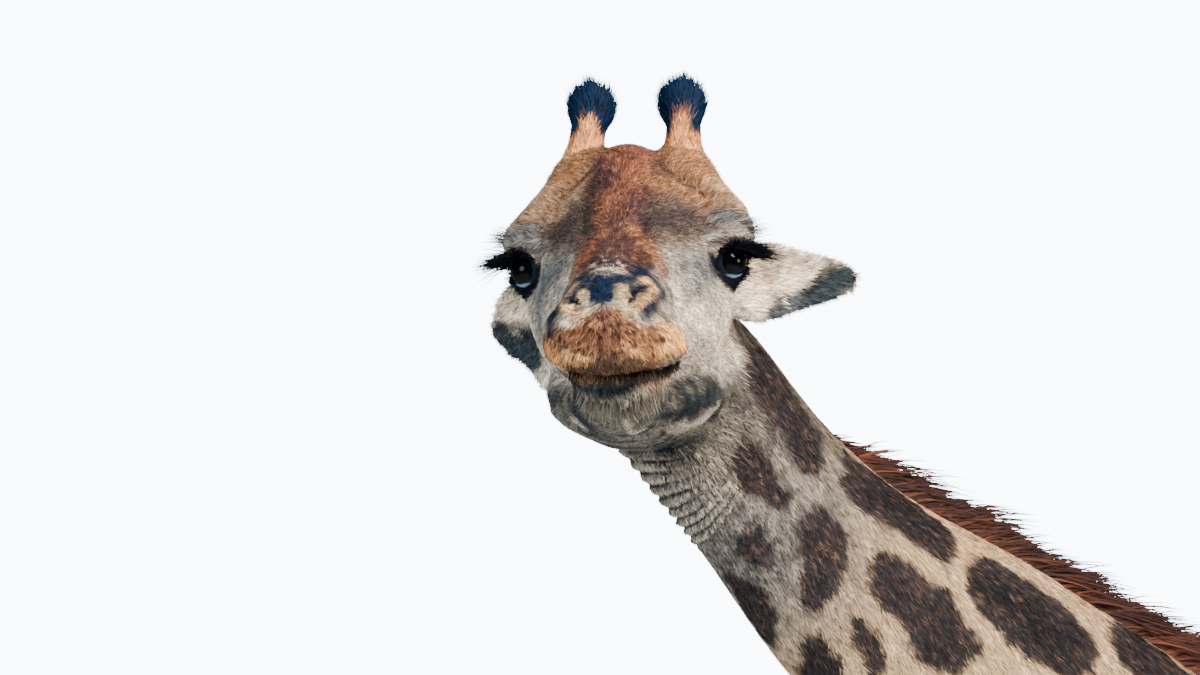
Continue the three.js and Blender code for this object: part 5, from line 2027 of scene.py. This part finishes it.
def grow_mane(name, count, extra, tint, seed):
    """Stiff hair in a crest down the back of the neck, leaning towards the body."""
    own = np.random.default_rng(seed)
    station = own.uniform(2.0, 9.9, count)
    value = NECK.sampler(station * NECK_STEPS)
    centre, above, along = value(NECK.centre), value(NECK.above), value(NECK.along)
    side, size = value(NECK.side), value(NECK.size)
    off = own.normal(0, 0.5, count).clip(-1, 1) * MANE_HALF
    place = centre + above * (size[:, :1] - 0.010) + side * off[:, None]
    stations, rises = np.array(MANE_RISE).T
    rise = np.interp(station, stations, rises)
    clump = cloud(np.stack([station * 0.30, off * 0, off * 0], 1), 0.02, seed)
    lean = 0.75 + 0.25 * clump + own.normal(0, 0.12, count)
    way = above - lean[:, None] * along + side * (off / MANE_HALF * 0.25)[:, None]
    way = way + side * own.normal(0, 0.08, count)[:, None]
    outward = side * np.sign(off + 1e-9)[:, None]
    colour = mix(many(AUBURN, count), DARK_AUBURN,
                 np.clip(0.35 + 0.5 * clump + own.normal(0, 0.2, count), 0, 1) * tint)
    roots = rooted(place, outward, way, colour)
    wisp = cloud(np.stack([station * 0.30, off * 0 + 1, off * 0], 1), 0.05, seed + 1)
    extra = extra * smooth_step(8.2, 7.7, station)
    long = (rise + extra) * 1.20 * (1 + 0.25 * clump + 0.30 * wisp)
    grow(name, roots, long, 0.0024, 0.0, own, MANE_HAIR, "mane_hair", ("mane",), sections=4,
         waver=0.10, sag=(0, 0.10, -0.25), soft=0.6)


grow_mane("mane_hair_under", 15000, 0.004, 0.5, 31)
grow_mane("mane_hair_long", 9000, 0.016, 1.0, 32)


TAIL_HAIRS = 7000
TAIL_TUFT_Y = 0.922


def grow_tail_tuft():
    """Long coarse hair hanging from the tail's end."""
    own, count = np.random.default_rng(41), TAIL_HAIRS
    height = own.uniform(1.06, 1.36, count)
    turn = own.uniform(0, 2 * math.pi, count)
    out = np.stack([np.cos(turn), np.sin(turn), np.zeros(count)], 1)
    reach = np.interp(height, [1.06, 1.28, 1.36], [0.002, 0.008, 0.014])
    middle = np.stack([np.zeros(count), np.full(count, TAIL_TUFT_Y), height], 1)
    place = middle + out * reach[:, None]
    way = np.array([0, 0, -1.0]) + out * own.uniform(0.05, 0.16, count)[:, None]
    roots = rooted(place, out, way, BLACK_HAIR)
    grow("tail_tuft_hair", roots, own.uniform(0.16, 0.25, count), 0.0030, 0.0, own, DARK_HAIR,
         "dark_hair", ("tail_tuft",), sections=6, waver=0.05, sag=-0.06 * out)


grow_tail_tuft()


LASH_TIP = np.array([0.172, -0.022, 0.026])
LASHES = 760


def grow_lashes():
    """Long thick lashes on the upper lid, turned outwards and a little down."""
    own, count = np.random.default_rng(51), LASHES
    for name, side in (("lashes_left", 1), ("lashes_right", -1)):
        share = 0.30 - 1.16 * own.beta(1.2, 1.5, count)
        arch = np.maximum(1 - (share / LID_REACH) ** 2, 0)
        height = LID_ABOVE * arch ** 0.8 + 0.04 * share + own.uniform(-0.10, 0.10, count)
        out = np.sqrt(np.maximum(1 - share ** 2 - height ** 2, 0.05))
        way_out = (share[:, None] * EYE_SIDE + height[:, None] * EYE_UP
                   + out[:, None] * unit(EYE_AXIS))
        place = EYE_AT + way_out * (EYE_RADIUS + 0.003)
        way = 0.8 * unit(LASH_TIP - place) + 0.5 * way_out + own.normal(0, 0.15, (count, 3))
        normal = many((0.1, -0.5, 0.85), count)
        for rows in (place, way, normal):
            rows[:, 0] *= side
        roots = rooted(from_head(place), normal @ HEAD_TURNED.T, way @ HEAD_TURNED.T, BLACK_HAIR)
        grow(name, roots, own.uniform(0.014, 0.046, count), 0.0010, 0.0, own, DARK_HAIR,
             "dark_hair", sections=4, waver=0.06, sag=(0, 0, -0.10))


grow_lashes()


BRISTLES = (
    # name, how many, shortest and longest, how wide, paint, which way they point, and the
    # strands on one side of the head from which they grow, with their half widths, in metres
    ("brow_hair", 420, 0.012, 0.026, 0.0007, ASH, (0.9, -0.35, 0.30),
     ((0.116, -0.026, 0.070, 0.004), (0.138, -0.004, 0.072, 0.005), (0.146, 0.020, 0.062, 0.004))),
    ("lid_hair", 700, 0.008, 0.014, 0.0009, EYE_DARK, (0.8, -0.40, 0.05),
     ((0.100, -0.034, 0.050, 0.002), (0.121, -0.016, 0.060, 0.003), (0.134, 0.010, 0.054, 0.003))),
    ("lip_fringe", 1500, 0.008, 0.014, 0.0009, FRINGE, (0.10, -0.45, -0.9),
     ((0.074, -0.400, -0.078, 0.003), (0.052, -0.444, -0.088, 0.003),
      (0.024, -0.462, -0.096, 0.003), (0.000, -0.464, -0.098, 0.003))),
    ("chin_fringe", 1100, 0.008, 0.016, 0.0008, CHIN_GREY, (0.15, -0.35, -0.95),
     ((0.060, -0.400, -0.112, 0.004), (0.040, -0.430, -0.120, 0.006),
      (0.015, -0.440, -0.126, 0.006), (0.000, -0.440, -0.128, 0.006))),
    ("chin_whiskers", 60, 0.026, 0.045, 0.0006, BLACK_HAIR, (0.6, -0.5, -0.6),
     ((0.070, -0.400, -0.090, 0.006), (0.052, -0.420, -0.116, 0.008),
      (0.020, -0.440, -0.130, 0.008))),
)


def grow_bristles():
    """The longer hairs of the brow, the lids, the lips and the chin, on both sides."""
    both = mirrored(IN_HEAD)
    for number, row in enumerate(BRISTLES):
        name, count, shortest, longest, width, tint, way, rows = row
        own = np.random.default_rng(60 + number)
        share = smooth_step(0.005, -0.001, strand(both, rows))
        roots = sprinkle(SKIN, share, count, own)
        side = np.sign(to_head(roots.place)[:, 0])
        ways = many(way, count) + own.normal(0, 0.22, (count, 3))
        ways[:, 0] *= side
        ways = ways @ HEAD_TURNED.T + 0.35 * roots.normal
        shade = own.uniform(0.5, 1.5, count)[:, None]
        roots = rooted(roots.place, roots.normal, ways, tint * shade)
        long = own.uniform(shortest, longest, count)
        grow(name, roots, long, width, 0.0, own, DARK_HAIR, "dark_hair", sections=3,
             waver=0.10, sag=(0, 0, -0.12), soft=0.7)


grow_bristles()


# Hooves ----------------------------------------------------------------------------------------

CLAW_RINGS = (
    # height, ahead, behind, half width
    (0.128, 0.050, 0.046, 0.024), (0.118, 0.058, 0.053, 0.0262), (0.108, 0.061, 0.055, 0.0262),
    (0.062, 0.087, 0.061, 0.0272), (0.020, 0.114, 0.069, 0.0292), (0.004, 0.118, 0.067, 0.0288),
    (0.0003, 0.112, 0.062, 0.026),
)


def build_claw(name, x, y, node):
    """One claw: a ring drawn out downwards, ring by ring, and rounded."""
    clear_selection()
    bpy.ops.mesh.primitive_circle_add(vertices=24, radius=1.0, fill_type="NGON")
    claw = bpy.context.object
    bpy.ops.object.mode_set(mode="EDIT")
    previous = None
    for height, ahead, behind, half in CLAW_RINGS:
        if previous is not None:
            bpy.ops.mesh.extrude_region_move()
        centre = Vector((x, y - 0.5 * (ahead - behind), height))
        long = 0.5 * (ahead + behind)
        if previous is None:
            bpy.ops.transform.resize(value=(half, long, 1), center_override=(0, 0, 0))
            bpy.ops.transform.translate(value=centre)
        else:
            old, old_long, old_half = previous
            bpy.ops.transform.translate(value=centre - old)
            bpy.ops.transform.resize(value=(half / old_half, long / old_long, 1),
                                     center_override=centre)
        previous = (centre, long, half)
    bpy.ops.mesh.select_all(action="SELECT")
    bpy.ops.mesh.normals_make_consistent(inside=False)
    bpy.ops.object.mode_set(mode="OBJECT")
    smooth = claw.modifiers.new("rounded", "SUBSURF")
    smooth.levels = smooth.render_levels = 2
    bpy.ops.object.modifier_apply(modifier="rounded")
    mesh = claw.data
    carry_home(mesh)
    bpy.data.objects.remove(claw)
    mesh.name = name
    show(name, mesh, HOOF, (node,))


for end, foot_y, lead in (("fore", FORE_FOOT_Y, -STEP), ("hind", HIND_FOOT_Y, STEP)):
    for side_name, side in (("left", 1), ("right", -1)):
        for place_name, out in (("outer", 1), ("inner", -1)):
            node = "%shoof_%s_%s" % (end, side_name, place_name)
            x = side * (STANCE + out * CLAW_OUT)
            build_claw("claw_" + node, x, foot_y + side * lead, node)


# Camera, floor and light --------------------------------------------------------------------

PICTURE = (1200, 675)
LENS_SCALE = 880.0
CAMERA_TURN = 55
CAMERA_RISE = 7.5
CAMERA_AWAY = 9.0
AIM_PIXEL = (630, 268)
AIM_POINT = np.array([0.082, -1.835, 3.741]) - ORIGIN
SENSOR = 36.0
WORLD_LIGHT = 0.36
WORLD_SEEN = 12.0
FLOOR_SIZE = 80
FLOOR_PALE = (222, 224, 226)
FLOOR_DUSTY = (232, 233, 235)
SKY = (0.78, 0.89, 1.0, 1.0)
LAMPS = (
    # name, place, what it is turned to, width, power, colour
    ("key", (5.6, -1.2, 8.0), (0, -1.1, 3.5), 3.0, 1150, (1.0, 0.92, 0.82)),
    ("side", (6.4, 2.6, 4.4), (0, -1.1, 3.4), 2.5, 420, (1.0, 0.93, 0.86)),
    ("fill", (1.8, -8.6, 4.8), (0, -0.6, 2.6), 4.0, 430, (0.82, 0.92, 1.0)),
)


def place_camera():
    """The lens looks a little up at the head, from the animal's left front."""
    turn, rise = math.radians(CAMERA_TURN), math.radians(CAMERA_RISE)
    look = Vector((-math.sin(turn) * math.cos(rise), math.cos(turn) * math.cos(rise),
                   math.sin(rise)))
    right = Vector((math.cos(turn), math.sin(turn), 0))
    up = right.cross(look)
    focal = LENS_SCALE * CAMERA_AWAY
    off_right = (AIM_PIXEL[0] - PICTURE[0] / 2) / focal
    off_up = -(AIM_PIXEL[1] - PICTURE[1] / 2) / focal
    place = Vector(AIM_POINT) - CAMERA_AWAY * (look + off_right * right + off_up * up)
    lens = bpy.data.cameras.new("camera")
    lens.sensor_width = SENSOR
    lens.lens = focal / PICTURE[0] * SENSOR
    lens.clip_end = 500
    camera = bpy.data.objects.new("camera", lens)
    bpy.context.scene.collection.objects.link(camera)
    rows = [list(column) for column in zip(right, up, -look, place)]
    camera.matrix_world = Matrix(rows + [[0, 0, 0, 1]])
    bpy.context.scene.camera = camera


def place_floor():
    """A wide pale floor, a little dusty."""
    clear_selection()
    bpy.ops.mesh.primitive_plane_add(size=FLOOR_SIZE)
    floor = bpy.context.object
    floor.name = "floor"
    material, sheet, shader = plain_material("pale_floor", 0.85)
    place = sheet.node("TexCoord").outputs["Object"]
    dust = sheet.noise(place, 3.0, 4.0)
    colour = sheet.blend(dust, card(*FLOOR_PALE), card(*FLOOR_DUSTY))
    sheet.tree.links.new(colour, shader.inputs["Base Color"])
    floor.data.materials.append(material)


def area_light(name, place, target, size, power, colour):
    """A round soft lamp turned to its target."""
    lamp = bpy.data.lights.new(name, "AREA")
    lamp.shape = "DISK"
    lamp.size = size
    lamp.energy = power
    lamp.color = colour
    holder = bpy.data.objects.new(name, lamp)
    bpy.context.scene.collection.objects.link(holder)
    way = Vector(target) - Vector(place)
    turned = way.to_track_quat("-Z", "Y").to_matrix().to_4x4()
    holder.matrix_world = Matrix.Translation(Vector(place)) @ turned


def place_light():
    """A pale sky, which is seen brighter than it lights, and three lamps."""
    world = bpy.data.worlds.new("studio")
    bpy.context.scene.world = world
    world.use_nodes = True
    sheet = Sheet(world.node_tree)
    back = world.node_tree.nodes["Background"]
    back.inputs[0].default_value = SKY
    seen = sheet.node("LightPath").outputs["Is Camera Ray"]
    strength = sheet.grade(seen, 0.0, 1.0, WORLD_LIGHT, WORLD_SEEN)
    world.node_tree.links.new(strength, back.inputs[1])
    for lamp in LAMPS:
        area_light(*lamp)


place_camera()
place_floor()
place_light()
